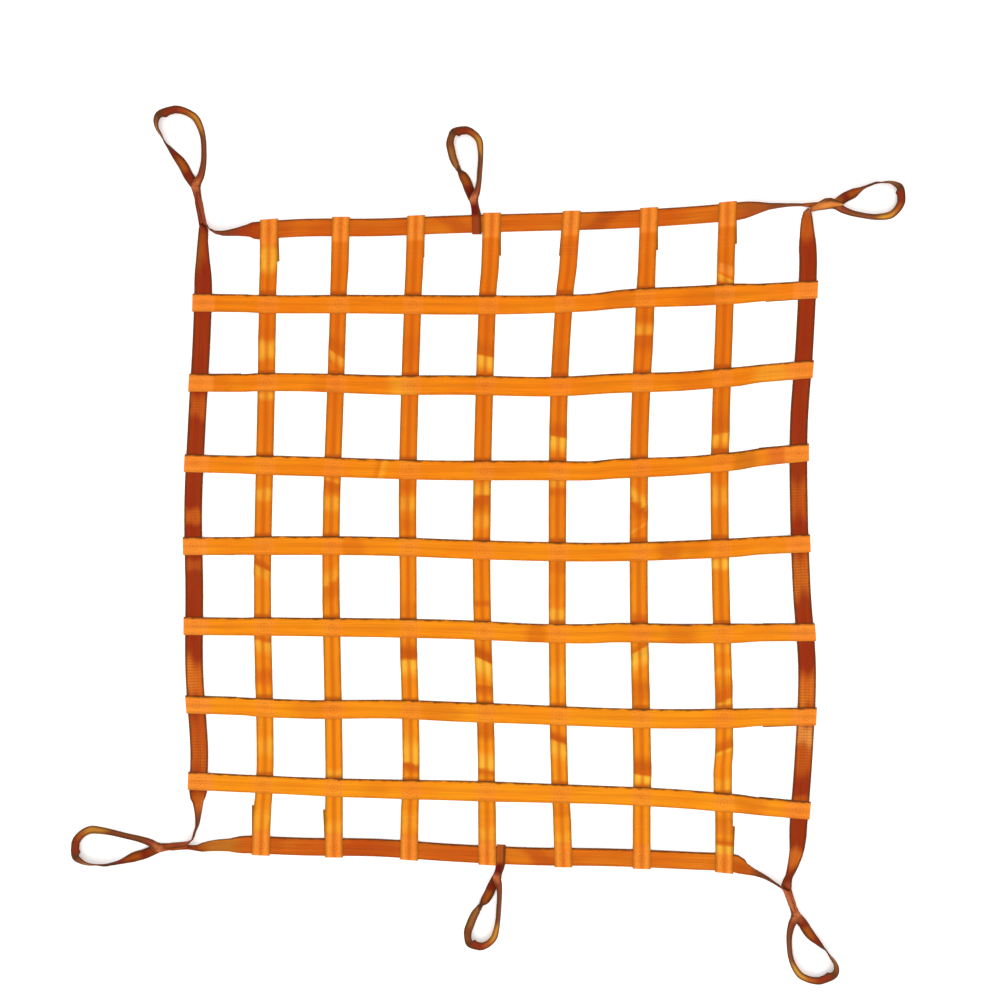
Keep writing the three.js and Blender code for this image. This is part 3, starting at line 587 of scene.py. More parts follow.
# A leaf: shares of its opening at each section, lift over the neck, shares of width and thickness
# at its last section, and reach, drop, rise and taper of its point.
LEAF_SHARES = (0.2, 0.8, 1.15, 0.9)
LEAF_LIFT = 1.3
LEAF_WIDTH = 0.85
LEAF_THICK = 0.6
LEAF_POINT = 30.0
LEAF_DROP = 9.0
LEAF_RISE = 14.0
LEAF_TAPER = 3.0
# A patch: waver and waves of its ends, where it fades along the webbing, and where its side begins.
PATCH_WAVER = 0.14
PATCH_WAVES = 4.0
PATCH_FADE = (1.2, 0.35)
PATCH_SIDE = (0.1, 0.75)
# A crease: distances over which a tone sets in beside it, and shares of its reach where it fades.
CREASE_EDGE = (-2.0, 3.0)
CREASE_FADE = (1.0, 0.35)


def unit(v: Array) -> Array:
    """The direction of a vector."""
    return v / np.linalg.norm(v)


def ease(f: Any) -> Any:
    """A share of 0 to 1, slowed at both ends."""
    return f * f * (3 - 2 * f)


def ramp(low: float, high: float, at: Any) -> Any:
    """0 below low, 1 above high and eased between them; high may be the lower one."""
    return ease(np.clip((at - low) / (high - low), 0.0, 1.0))


def mixed(first: Any, second: Any, share: Any) -> Any:
    """A value that lies a share of the way from the first to the second."""
    return first + (second - first) * share


def on_floor(point: Sequence[float]) -> Array:
    """The place on the floor under a point."""
    return np.array([point[0], point[1], 0.0])


def above_floor(points: Array) -> Array:
    """Points, with those below the floor brought up to it."""
    return np.maximum(points, (-math.inf, -math.inf, 0.0))


def patched(shade: Array, at: Array, place: Array, rows: Sequence[Patch]) -> Array:
    """Lays patches of other shades on webbing.

    Args:
        shade: shade of the webbing at points on it.
        at: place of each point along it.
        place: place of each point across it, from -1 to 1.
        rows: the patches.

    Returns:
        The shade at each point.
    """
    for patch in rows:
        off = np.abs(at - patch.at - place * patch.slant / 2) / patch.half
        off = off + PATCH_WAVER * np.sin(place * PATCH_WAVES + patch.at)
        share = patch.share * ramp(*PATCH_FADE, off)
        if patch.side:
            share = share * ramp(*PATCH_SIDE, place * patch.side)
        shade = mixed(shade, patch.tone.linear, share[..., None])
    return shade


@dataclass(frozen=True)
class SmoothLine:
    """Smooth line through values at rising stations, straight on beyond both ends."""

    stations: Sequence[float]
    values: Sequence[float]

    def slope(self, i: int) -> float:
        """Slope of the line at station i."""
        a, b = max(i - 1, 0), min(i + 1, len(self.stations) - 1)
        return (self.values[b] - self.values[a]) / (self.stations[b] - self.stations[a])

    def at(self, place: float) -> float:
        """Value of the line.

        Args:
            place: place along the stations.

        Returns:
            The value at that place.
        """
        last = len(self.stations) - 1
        if place <= self.stations[0]:
            return self.values[0] + self.slope(0) * (place - self.stations[0])
        if place >= self.stations[last]:
            return self.values[last] + self.slope(last) * (place - self.stations[last])
        i = next(k for k, station in enumerate(self.stations) if station >= place) - 1
        span = self.stations[i + 1] - self.stations[i]
        f = (place - self.stations[i]) / span
        pull = f * (1 - f) * span
        level = mixed(self.values[i], self.values[i + 1], ease(f))
        return level + pull * ((1 - f) * self.slope(i) - f * self.slope(i + 1))


@dataclass(frozen=True)
class PlanCurve:
    """Smooth curve through points of a plan, drawn evenly by the root of their distances."""

    points: Array

    def point(self, share: float) -> Array:
        """Point of the curve.

        Args:
            share: place on the curve, with the points at even shares from 0 to 1.

        Returns:
            The point.
        """
        last = len(self.points) - 1
        place = min(max(share, 0.0), 1.0) * last
        i = min(int(place), last - 1)
        w = place - i
        p1, p2 = self.points[i], self.points[i + 1]
        p0 = self.points[i - 1] if i > 0 else 2 * p1 - p2
        p3 = self.points[i + 2] if i + 2 <= last else 2 * p2 - p1
        d0, d1, d2 = (math.sqrt(np.linalg.norm(b - a)) for a, b in ((p0, p1), (p1, p2), (p2, p3)))
        t1 = ((p1 - p0) / d0 - (p2 - p0) / (d0 + d1) + (p2 - p1) / d1) * d1
        t2 = ((p2 - p1) / d1 - (p3 - p1) / (d1 + d2) + (p3 - p2) / d2) * d1
        cubic = 2 * p1 - 2 * p2 + t1 + t2
        square = -3 * p1 + 3 * p2 - 2 * t1 - t2
        return p1 + t1 * w + square * w**2 + cubic * w**3

    def heading(self, share: float) -> Array:
        """Direction of the curve at a share of it."""
        step = 0.0001
        return unit(self.point(min(share + step, 1.0)) - self.point(max(share - step, 0.0)))


@dataclass
class Section:
    """Cross-section of a ribbon of webbing, with its shade."""

    centre: Array
    across: Array
    out: Array
    width: float
    thick: float
    lean: float = 90.0
    heading: Array = field(default_factory=lambda: UP)
    dye: Array = field(default_factory=lambda: np.ones(3))
    narrow: float = 1.0
    press: float = 1.0

    def shifted(self, offset: float, width: float, thick: float) -> Section:
        """The section of a layer at an offset from this one, as narrow and pressed as it is."""
        centre = self.centre + self.out * offset * self.press
        return replace(self, centre=centre, width=width * self.narrow, thick=thick * self.press)

    def turned(self) -> Section:
        """The section seen by one who walks the other way."""
        return replace(self, lean=-self.lean, heading=-self.heading, out=-self.out)


def leaning(centre: Array, heading: Array, lean: float, side: int) -> Section:
    """Section of a ribbon that leans outwards.

    Args:
        centre: middle of the section.
        heading: direction that the ribbon runs in.
        lean: degrees from upright.
        side: 1 if outwards is to the left of the heading, -1 if to the right.

    Returns:
        The section, with no size yet.
    """
    left = np.array([-heading[1], heading[0], 0.0]) * side
    tilt = math.radians(lean)
    across = UP * math.cos(tilt) + left * math.sin(tilt)
    out = UP * math.sin(tilt) - left * math.cos(tilt)
    return Section(centre, across, out, 0.0, 0.0, lean, heading)


def rest_height(lean: float, width: float, thick: float) -> float:
    """Height of the middle of a leaning ribbon that rests on the floor."""
    tilt = math.radians(lean)
    return abs(math.cos(tilt)) * width / 2 + abs(math.sin(tilt)) * thick / 2


@dataclass(frozen=True)
class Profile:
    """Outline of webbing cut across: shares of half the width and of half the thickness."""

    corners: tuple[tuple[float, float, float], ...]

    @classmethod
    def band(cls, width: float, thick: float) -> Profile:
        """Outline of a single layer with round selvedges and a shallow middle groove.

        Args:
            width: width of the webbing.
            thick: its thickness.

        Returns:
            The outline.
        """
        e = thick / width
        under = [(-1 + e, -1.0), (-0.5, -1.0), (0.0, -1.0), (0.5, -1.0), (1 - e, -1.0)]
        right = [(1 - 0.3 * e, -0.72), (1.0, 0.0), (1 - 0.3 * e, 0.72)]
        half = [(1 - e, 1.0), (0.8, 1.0), (0.45, 0.98), (0.12, 0.94)]
        top = half + [(0.0, 0.86)] + [(-u, v) for u, v in reversed(half)]
        left = [(-u, -v) for u, v in right]
        return cls(tuple((u, v, u) for u, v in under + right + top + left))

    @classmethod
    def folded(cls, slit: float) -> Profile:
        """Outline of webbing folded in half along its length, with the fold on the upper edge.

        Args:
            slit: gap between the two layers, of the whole thickness.

        Returns:
            The outline.
        """
        layer = [
            (0.86, 1.0), (0.45, 1.0), (0.0, 1.0), (-0.45, 1.0), (-0.9, 1.0),
            (-0.985, 0.94), (-1.0, 0.55), (-0.985, slit + 0.05),
            (-0.6, slit), (0.1, slit), (0.84, slit),
        ]
        fold = [(0.95, 0.76), (0.99, 0.4), (1.0, 0.0), (0.99, -0.4), (0.95, -0.76)]
        front = [(u, v, (1 - u) / 2) for u, v in layer]
        back = [(u, -v, (u - 1) / 2) for u, v in reversed(layer)]
        crease = [(u, v, 0.0) for u, v in reversed(fold)]
        return cls(tuple(front + back + crease))

    def columns(self) -> tuple[Array, Array, Array]:
        """Shares across and out of the ribbon, and place across the unfolded webbing."""
        table = np.array(self.corners)
        return table[:, 0], table[:, 1], table[:, 2]


@dataclass
class Ribbon:
    """Both edges of a ribbon along its length, its half thickness there, and its shade."""

    left: Array
    right: Array
    rise_left: Array
    rise_right: Array
    dye: Array
    endless: bool = False

    @classmethod
    def through(cls, sections: Sequence[Section], endless: bool = False) -> Ribbon:
        """Ribbon through cross-sections.

        Args:
            sections: the cross-sections in order.
            endless: True if the last one joins the first.

        Returns:
            The ribbon.
        """
        half = [s.across * s.width / 2 for s in sections]
        rise = np.array([s.out * s.thick / 2 for s in sections])
        return cls(
            np.array([s.centre - h for s, h in zip(sections, half)]),
            np.array([s.centre + h for s, h in zip(sections, half)]),
            rise,
            rise,
            np.array([s.dye for s in sections]),
            endless,
        )

    @property
    def middle(self) -> Array:
        """Middle of the ribbon at each station."""
        return (self.left + self.right) / 2

    def refined(self, longest: float) -> Ribbon:
        """The ribbon with stations added where they lie far apart.

        Args:
            longest: the longest step along the ribbon.

        Returns:
            The finer ribbon.
        """
        middle = self.middle
        count = len(middle)
        spans = count if self.endless else count - 1
        low, share = [], []
        for i in range(spans):
            parts = max(1, math.ceil(np.linalg.norm(middle[(i + 1) % count] - middle[i]) / longest))
            low += [i] * parts
            share += [k / parts for k in range(parts)]
        if not self.endless:
            low.append(count - 1)
            share.append(0.0)
        a = np.array(low)
        b = (a + 1) % count
        f = np.array(share)[:, None]
        columns = (self.left, self.right, self.rise_left, self.rise_right, self.dye)
        return Ribbon(*(mixed(c[a], c[b], f) for c in columns), self.endless)

    def run(self) -> Array:
        """Distance of each station from the first along the middle of the ribbon."""
        steps = np.linalg.norm(np.diff(self.middle, axis=0), axis=1)
        return np.concatenate([[0.0], np.cumsum(steps)])

    def length(self) -> float:
        """Length of the ribbon along its middle."""
        closing = np.linalg.norm(self.middle[0] - self.middle[-1]) if self.endless else 0.0
        return float(self.run()[-1] + closing)

    def surface(self, profile: Profile) -> Array:
        """Points on the outside of the webbing.

        Args:
            profile: outline of the webbing cut across.

        Returns:
            A ring of points at each station.
        """
        u, v, _ = profile.columns()
        f = ((u + 1) / 2)[None, :, None]
        ground = self.left[:, None] * (1 - f) + self.right[:, None] * f
        rise = self.rise_left[:, None] * (1 - f) + self.rise_right[:, None] * f
        return ground + rise * v[None, :, None]


@dataclass
class Skin:
    """Mesh of a piece of webbing from rings of points, with what its finish reads at each."""

    points: Array
    across: Array
    run: Array
    dye: Array
    endless: bool = False
    flat: Any = 1.0

    def build(self, name: str) -> bpy.types.Object:
        """Makes the mesh.

        Args:
            name: name of the piece.

        Returns:
            The piece, in the scene.
        """
        rings, corners = self.points.shape[:2]
        index = np.arange(rings * corners).reshape(rings, corners)
        after = np.roll(index, -1, axis=0) if self.endless else index[1:]
        before = index if self.endless else index[:-1]
        sides = [before, after, np.roll(after, -1, axis=1), np.roll(before, -1, axis=1)]
        faces = np.stack(sides, axis=-1).reshape(-1, 4).tolist()
        caps = [] if self.endless else [index[0].tolist(), index[-1].tolist()]
        mesh = bpy.data.meshes.new(name)
        mesh.from_pydata((self.points.reshape(-1, 3) * MM).tolist(), [], faces + caps)
        shape = (rings, corners)
        self._store(mesh, "across", np.broadcast_to(self.across, shape))
        self._store(mesh, "run", np.broadcast_to(self.run[:, None] * MM, shape))
        colour = np.empty((rings, corners, 4))
        colour[..., :3] = self.dye
        colour[..., 3] = self.flat
        layer = mesh.attributes.new("dye", "FLOAT_COLOR", "POINT")
        layer.data.foreach_set("color", colour.astype(np.float32).ravel())
        edit = bmesh.new()
        edit.from_mesh(mesh)
        bmesh.ops.recalc_face_normals(edit, faces=edit.faces)
        for face in edit.faces:
            face.smooth = len(face.verts) == 4
        edit.to_mesh(mesh)
        edit.free()
        return place_piece(name, mesh)

    @staticmethod
    def _store(mesh: bpy.types.Mesh, name: str, values: Array) -> None:
        """Keeps one number for each point of the mesh."""
        layer = mesh.attributes.new(name, "FLOAT", "POINT")
        layer.data.foreach_set("value", values.astype(np.float32).ravel())


def place_piece(name: str, mesh: bpy.types.Mesh) -> bpy.types.Object:
    """Puts a mesh in the scene as a piece that rides on the net.

    Args:
        name: name of the piece.
        mesh: its mesh.

    Returns:
        The piece.
    """
    piece = bpy.data.objects.new(name, mesh)
    bpy.context.scene.collection.objects.link(piece)
    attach(piece, BODY)
    return piece


@dataclass
class Stitching:
    """Rows of thread sewn through the upper face of the webbing, joined in one mesh."""

    thick: float = 1.1
    pitch: float = 4.4
    length: float = 3.7
    narrowest: float = 0.35
    starts: list[Array] = field(default_factory=list)
    steps: list[Array] = field(default_factory=list)
    normals: list[Array] = field(default_factory=list)
    soils: list[float] = field(default_factory=list)

    def sew(self, path: Array, normal: Array, soil_and_shade: float = 0.0) -> None:
        """Sews a row of stitches.

        Args:
            path: corners of the row on the face of the webbing.
            normal: direction out of that face.
            soil_and_shade: how soiled the thread is, from 0 to 1.
        """
        legs = np.diff(path, axis=0)
        reach = np.concatenate([[0.0], np.cumsum(np.linalg.norm(legs, axis=1))])
        count = max(1, round(reach[-1] / self.pitch))
        for k in range(count):
            ends = (k + np.array([0.0, self.length / self.pitch])) * reach[-1] / count
            a, b = (np.array([np.interp(e, reach, path[:, c]) for c in range(3)]) for e in ends)
            self.starts.append(a)
            self.steps.append(b - a)
            self.normals.append(normal)
            self.soils.append(soil_and_shade)

    def sew_flat(self, centre: Array, along: Array, rows: dict[float, list[Array]]) -> None:
        """Sews rows drawn on a level face.

        Args:
            centre: middle of the drawing on the face.
            along: its first direction.
            rows: corners of each row, along and aside of the middle, by the soil of the thread.
        """
        aside = np.cross(UP, along)
        for soil_and_shade, paths in rows.items():
            for row in paths:
                self.sew(centre + row[:, :1] * along + row[:, 1:] * aside, UP, soil_and_shade)

    def build(self, name: str) -> bpy.types.Object:
        """Makes the mesh of every stitch.

        Args:
            name: name of the piece.

        Returns:
            The piece, in the scene.
        """
        along = np.array([0.0, 0.12, 0.4, 0.6, 0.88, 1.0])
        height = np.array([-0.15, 0.6, 1.0, 1.0, 0.6, -0.15])
        angles = np.radians([-100.0, -50.0, 0.0, 50.0, 100.0])
        start, step, normal = (np.array(c) for c in (self.starts, self.steps, self.normals))
        side = np.cross(normal, step)
        side /= np.linalg.norm(side, axis=1, keepdims=True)
        spread = np.sin(angles)[None, None, :, None] * self.thick / 2
        lift = np.cos(angles)[None, None, :, None] * self.thick / 2
        tall = height[None, :, None, None]
        points = (
            start[:, None, None] + step[:, None, None] * along[None, :, None, None]
            + side[:, None, None] * spread * np.maximum(tall, self.narrowest)
            + normal[:, None, None] * lift * tall
        )
        rows, columns = len(along), len(angles)
        grid = np.arange(rows * columns).reshape(rows, columns)
        quads = np.stack([grid[:-1, :-1], grid[1:, :-1], grid[1:, 1:], grid[:-1, 1:]], axis=-1)
        offsets = np.arange(len(start))[:, None, None] * rows * columns
        faces = (quads.reshape(1, -1, 4) + offsets).reshape(-1, 4)
        mesh = bpy.data.meshes.new(name)
        mesh.from_pydata((points.reshape(-1, 3) * MM).tolist(), [], faces.tolist())
        mesh.polygons.foreach_set("use_smooth", np.ones(len(mesh.polygons), bool))
        soil_and_shade = mesh.attributes.new("soil_and_shade", "FLOAT", "POINT")
        soil_and_shade.data.foreach_set("value", np.repeat(self.soils, rows * columns).astype(np.float32))
        return place_piece(name, mesh)


def square(half_along: float, half_aside: float) -> Array:
    """Corners of a closed square row of stitches."""
    a, b = half_along, half_aside
    return np.array([(-a, -b), (a, -b), (a, b), (-a, b), (-a, -b)], float)


def circle(radius: float, corners: int = 33) -> Array:
    """Corners of a closed round row of stitches."""
    turn = np.linspace(0.0, 2 * math.pi, corners)
    return np.stack([np.cos(turn), np.sin(turn)], axis=1) * radius


class Socket:
    """A shader value that takes part in Python arithmetic."""

    def __init__(self, shader: Shader, output: bpy.types.NodeSocket) -> None:
        """Keeps the node socket that gives the value."""
        self.shader = shader
        self.output = output

    def _math(self, operation: str, first: Any, second: Any = None) -> Socket:
        """Adds one Math node."""
        inputs = {0: first} if second is None else {0: first, 1: second}
        return self.shader.node("ShaderNodeMath", {"operation": operation}, inputs)

    def __add__(self, other: Any) -> Socket:
        """Sum."""
        return self._math("ADD", self, other)

    __radd__ = __add__

    def __sub__(self, other: Any) -> Socket:
        """Difference."""
        return self._math("SUBTRACT", self, other)

    def __rsub__(self, other: Any) -> Socket:
        """Difference from a number."""
        return self._math("SUBTRACT", other, self)

    def __mul__(self, other: Any) -> Socket:
        """Product."""
        return self._math("MULTIPLY", self, other)

    __rmul__ = __mul__

    def __neg__(self) -> Socket:
        """Negative value."""
        return self._math("MULTIPLY", self, -1.0)

    def __abs__(self) -> Socket:
        """Value without its sign."""
        return self._math("ABSOLUTE", self)

    def sine(self) -> Socket:
        """Sine of the value in radians."""
        return self._math("SINE", self)

    def zigzag(self, scale: float) -> Socket:
        """Value folded back and forth between 0 and a scale."""
        return self._math("PINGPONG", self, scale)

    def between(self, low: float, high: float) -> Socket:
        """0 at low, 1 at high, eased between them and held beyond."""
        inputs = {0: self, 1: low, 2: high, 3: 0.0, 4: 1.0}
        return self.shader.node("ShaderNodeMapRange", {"interpolation_type": "SMOOTHSTEP"}, inputs)


class Shader:
    """Node tree of one finish."""

    def __init__(self, name: str) -> None:
        """Starts an empty material.

        Args:
            name: name of the material.
        """
        self.material = bpy.data.materials.new(name)
        self.material.use_nodes = True
        self.tree = self.material.node_tree
        self.tree.nodes.clear()

    def node(
        self,
        kind: str,
        settings: dict[str, Any] | None = None,
        inputs: dict[int | str, Any] | None = None,
        output: int | str = 0,
    ) -> Socket:
        """Adds a node.

        Args:
            kind: type of the node.
            settings: its settings, set before its sockets.
            inputs: value or link of each socket, by place or name.
            output: socket that is handed back, by place or name.

        Returns:
            That socket, or the last input of a node that has no outputs.
        """
        made = self.tree.nodes.new(kind)
        for key, value in (settings or {}).items():
            setattr(made, key, value)
        for key, value in (inputs or {}).items():
            if isinstance(value, Socket):
                self.tree.links.new(value.output, made.inputs[key])
            else:
                made.inputs[key].default_value = value
        return Socket(self, made.outputs[output] if made.outputs else made.inputs[0])

    def reads(self, name: str, output: str) -> Socket:
        """What the mesh keeps at each point under a name."""
        return self.node("ShaderNodeAttribute", {"attribute_name": name}, None, output)

    def place(self, x: Any, y: Any, z: Any = 0.0) -> Socket:
        """A vector from three values."""
        return self.node("ShaderNodeCombineXYZ", None, {0: x, 1: y, 2: z})

    def noise(self, where: Socket, scale: float, detail: float = 2.0) -> Socket:
        """Cloudy values around one half."""
        inputs = {"Vector": where, "Scale": scale, "Detail": detail}
        return self.node("ShaderNodeTexNoise", None, inputs)

    def blend(self, share: Any, first: Any, second: Any, mode: str = "MIX") -> Socket:
        """A mix of two colours."""
        settings = {"data_type": "RGBA", "blend_type": mode}
        return self.node("ShaderNodeMix", settings, {0: share, 6: first, 7: second}, 2)

    def scaled(self, colour: Socket, value: Any) -> Socket:
        """A colour made lighter or darker."""
        inputs = {0: colour, "Scale": value}
        return self.node("ShaderNodeVectorMath", {"operation": "SCALE"}, inputs)

    def bump(self, height: Socket, strength: float, depth: float) -> Socket:
        """A normal that shows a relief."""
        inputs = {"Strength": strength, "Distance": depth, "Height": height}
        return self.node("ShaderNodeBump", None, inputs)

    def surface(self, inputs: dict[int | str, Any]) -> bpy.types.Material:
        """Ends the tree in one surface.

        Args:
            inputs: value or link of each socket of the surface.

        Returns:
            The material.
        """
        made = self.node("ShaderNodeBsdfPrincipled", None, inputs)
        self.node("ShaderNodeOutputMaterial", None, {"Surface": made})
        return self.material


def rgba(tone: Tone) -> tuple[float, ...]:
    """A shade as a socket takes it."""
    return (*tone.linear.tolist(), 1.0)


@dataclass(frozen=True)
class Weave:
    """Chevron weave: sizes in millimetres, relief of its parts, and how much of it shows."""

    column: float = 3.6
    pick: float = 2.6
    chevron: float = 0.5
    pick_relief: float = 0.3
    column_relief: float = 0.4
    mean: float = 0.35
    light: float = 0.16
    bump: float = 0.45
    depth: float = 0.0005


@dataclass(frozen=True)
class Grain:
    """Noise on webbing: how fine it is across and along it, which layer of it, and its detail."""

    across: float
    along: float
    layer: float = 0.0
    detail: float = 2.0


@dataclass(frozen=True)
class WebbingFinish:
    """Woven webbing: chevron weave, middle groove, light bands, streaks, patches, and edges in painted
    shade.

    Places across the webbing are from 0 in its middle to 1 at its edge, and pairs are where
    something begins and where it is full.
    """

    slot: str
    width: float = STOCK.strap_width
    weave: Weave = Weave()
    groove: float = 0.2
    groove_core: float = 0.02
    groove_half: float = 0.24
    groove_gain: float = 2.0
    groove_loss: float = 0.1
    groove_depth: float = 0.6
    groove_tone: Tone = Tone.RUST
    band: float = 0.06
    band_inside: Pair = (0.16, 0.42)
    band_outside: Pair = (0.55, 0.85)
    streak: float = 0.5
    streak_grain: Grain = Grain(7.0, 5.0)
    patch: float = 0.4
    patch_grain: Grain = Grain(0.5, 5.5, 4.0, 4.0)
    patch_range: Pair = (0.3, 0.7)
    ruddy: tuple[float, float, float, float] = (0.96, 0.78, 0.5, 1.0)
    sunny: tuple[float, float, float, float] = (1.03, 1.18, 1.3, 1.0)
    rib: float = 0.0
    rib_pitch: float = 8.0
    rib_waver: float = 4.0
    rib_light: float = 0.25
    rib_height: float = 0.8
    rib_green: Pair = (0.035, 0.08)
    rib_patch: Pair = (0.2, 0.6)
    low_edge: float = 0.4
    high_edge: float = 0.4
    low_start: float = 0.84
    high_start: float = 0.84
    edge_reach: float = 0.2
    edge_grain: Grain = Grain(1.5, 38.0, 9.0, 3.0)
    edge_tone: Tone = Tone.EDGE_SHADE
    ragged: float = 0.3
    roughness: float = 0.78
    roughness_range: float = 0.25
    specular: float = 0.1

    def material(self) -> bpy.types.Material:
        """Makes the material.

        Returns:
            The material.
        """
        shader = Shader("webbing_" + self.slot)
        dye = shader.reads("dye", "Color")
        flat = shader.reads("dye", "Alpha")
        across = shader.reads("across", "Fac")
        run = shader.reads("run", "Fac")
        aside = abs(across)
        weave = self.weave
        columns = across * (self.width / 2 / weave.column)
        slanted = run * (1 / weave.pick / MM) + columns.zigzag(1.0) * weave.chevron
        picks = (slanted * (2 * math.pi)).sine() * weave.pick_relief
        relief = picks + abs((columns * math.pi).sine()) * weave.column_relief
        streaks, patches, frayed = (
            shader.noise(shader.place(across * g.across, run * g.along, g.layer), 1.0, g.detail)
            for g in (self.streak_grain, self.patch_grain, self.edge_grain)
        )
        ragged = frayed - 0.5
        core = 1 - aside.between(self.groove_core, self.groove_half)
        groove = core * (streaks * self.groove_gain - self.groove_loss) * flat
        bands = aside.between(*self.band_inside) * (1 - aside.between(*self.band_outside))
        warm = shader.blend(patches.between(*self.patch_range), self.ruddy, self.sunny)
        tinted = shader.blend(self.patch, dye, warm, "MULTIPLY")
        reddened = shader.blend(groove * self.groove, tinted, rgba(self.groove_tone))
        green = shader.node("ShaderNodeSeparateColor", None, {0: dye}, 1)
        # Crosswise ribs show where the shade is lighter and the webbing lies flat, as painted light and
        # shade on them and as bumps.
        rib_share = green.between(*self.rib_green) * flat * patches.between(*self.rib_patch)
        ribs = (run * (2 * math.pi / self.rib_pitch / MM) + ragged * self.rib_waver).sine() * rib_share
        light = (
            1 + (streaks - 0.5) * self.streak + bands * self.band
            + (relief - weave.mean) * weave.light + ribs * (self.rib * self.rib_light)
        )
        shaded = shader.scaled(reddened, light)
        # Painted shade along the edges of the webbing, ragged by noise: the low and the high edge each
        # take their own share.
        edge = across + ragged * self.ragged
        low = (-edge).between(self.low_start, self.low_start + self.edge_reach) * self.low_edge
        high = edge.between(self.high_start, self.high_start + self.edge_reach) * self.high_edge
        height = relief + ribs * (self.rib * self.rib_height) - groove * self.groove_depth
        return shader.surface({
            "Base Color": shader.blend(low + high, shaded, rgba(self.edge_tone)),
            "Roughness": self.roughness + (streaks - 0.5) * self.roughness_range,
            "Normal": shader.bump(height, weave.bump, weave.depth),
            "Specular IOR Level": self.specular,
        })


@dataclass(frozen=True)
class ThreadFinish:
    """Twisted sewing thread."""

    tone: Tone = Tone.SEWN
    soiled: Tone = Tone.DUSK
    soil_range: Pair = (0.25, 0.6)
    strand_scale: float = 900.0
    length_scale: float = 95.0
    light: float = 0.94
    strand_light: float = 0.4
    length_light: float = 0.3
    bump: float = 0.4
    depth: float = 0.0003
    roughness: float = 0.6
    roughness_range: float = 0.25
    specular: float = 0.15

    def material(self) -> bpy.types.Material:
        """Makes the material.

        Returns:
            The material.
        """
        shader = Shader("sewing_thread")
        where = shader.node("ShaderNodeTexCoord", None, None, "Object")
        strands = shader.noise(where, self.strand_scale)
        lengths = shader.noise(where, self.length_scale)
        light = self.light + (strands - 0.5) * self.strand_light + (lengths - 0.5) * self.length_light
        soil_and_shade = shader.reads("soil_and_shade", "Fac") * lengths.between(*self.soil_range)
        toned = shader.blend(soil_and_shade, rgba(self.tone), rgba(self.soiled))
        return shader.surface({
            "Base Color": shader.scaled(toned, light),
            "Roughness": self.roughness + strands * self.roughness_range,
            "Normal": shader.bump(strands, self.bump, self.depth),
            "Specular IOR Level": self.specular,
        })


@dataclass(frozen=True)
class FloorFinish:
    """Plain pale studio floor."""

    shade: float = 0.96
    glow: float = 0.2
    cloud_scale: float = 0.6
    cloud_light: float = 0.02
    roughness: float = 0.85
    roughness_range: float = 0.1
    specular: float = 0.1

    def material(self) -> bpy.types.Material:
        """Makes the material.

        Returns:
            The material.
        """
        shader = Shader("pale_floor")
        where = shader.node("ShaderNodeTexCoord", None, None, "Object")
        cloud = shader.noise(where, self.cloud_scale) - 0.5
        value = self.shade + cloud * self.cloud_light
        return shader.surface({
            "Base Color": shader.node("ShaderNodeCombineColor", None, {0: value, 1: value, 2: value}),
            "Roughness": self.roughness + cloud * self.roughness_range,
            "Specular IOR Level": self.specular,
            "Emission Color": (1.0, 1.0, 1.0, 1.0),
            "Emission Strength": self.glow,
        })


def dress(
    piece: bpy.types.Object,
    node: str,
    finish: WebbingFinish,
) -> None:
    """Gives a piece of webbing its finish, and hides the solid that it stands for.

    Args:
        piece: the piece.
        node: the solid that it stands for.
        finish: finish of its webbing.
    """
    piece.data.materials.append(finish.material())
    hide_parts(node)


@dataclass
class Neck:
    """Neck of an eye from its base to its throat.

    Pairs are the distances or places where a shade begins and where it has its full share.
    """

    row: LoopRow
    base: Array
    half: float
    sewn_reach: Pair = (36.0, 10.0)
    knot_share: float = 0.85
    throat_reach: Pair = (60.0, 22.0)
    throat_share: float = 0.85
    rim_reach: Pair = (0.1, 0.45)
    rim_share: float = 0.9

    def sections(self) -> list[Section]:
        """Cross-sections of the middle plane of the neck.

        Returns:
            The sections, with no size yet.
        """
        throat = on_floor(self.row.throat)
        heading = unit(throat - self.base)
        made = []
        for mark in NECK_ROWS:
            lean = mixed(*self.row.leans, mark.share)
            tilt = math.radians(lean)
            centre = mixed(self.base, throat, mark.share)
            edge = math.cos(tilt) * STOCK.loop_width / 2 * mark.narrow
            centre[2] = edge + math.sin(tilt) * self.half * mark.press
            section = leaning(centre, heading, lean, self.row.side)
            dye = mixed(self.row.tone.linear, Tone.NECK.linear, mark.dark)
            made.append(replace(section, dye=dye, narrow=mark.narrow, press=mark.press))
        return made

    def sewn(self, points: Array) -> Array:
        """How near points are to the base, where everything is sewn together."""
        return ramp(*self.sewn_reach, np.linalg.norm((points - self.base)[..., :2], axis=-1))

    def knotted(self, shade: Array, points: Array) -> Array:
        """Shade of webbing that is red where it is sewn in at the base."""
        knot = (Tone.KNOT.linear + self.row.tone.linear) / 2
        return mixed(shade, knot, (self.knot_share * self.sewn(points))[..., None])

    def dyed(self, shade: Array, points: Array, place: Array) -> Array:
        """Shade of a border's end, which takes on the neck's own shade towards the throat.

        Args:
            shade: shade of the border at points on it.
            points: the points.
            place: place of each across the border.

        Returns:
            The shade at each, with painted shade on the rim of a leaf.
        """
        away = np.linalg.norm(points[..., :2] - np.array(self.row.throat), axis=-1)
        near = ramp(*self.throat_reach, away)
        toned = mixed(shade, self.row.tone.linear, (self.throat_share * near)[..., None])
        if self.row.leaf:
            rim = self.rim_share * near * ramp(*self.rim_reach, place)
            toned = mixed(toned, Tone.SHADE.linear, rim[..., None])
        return self.knotted(toned, points)


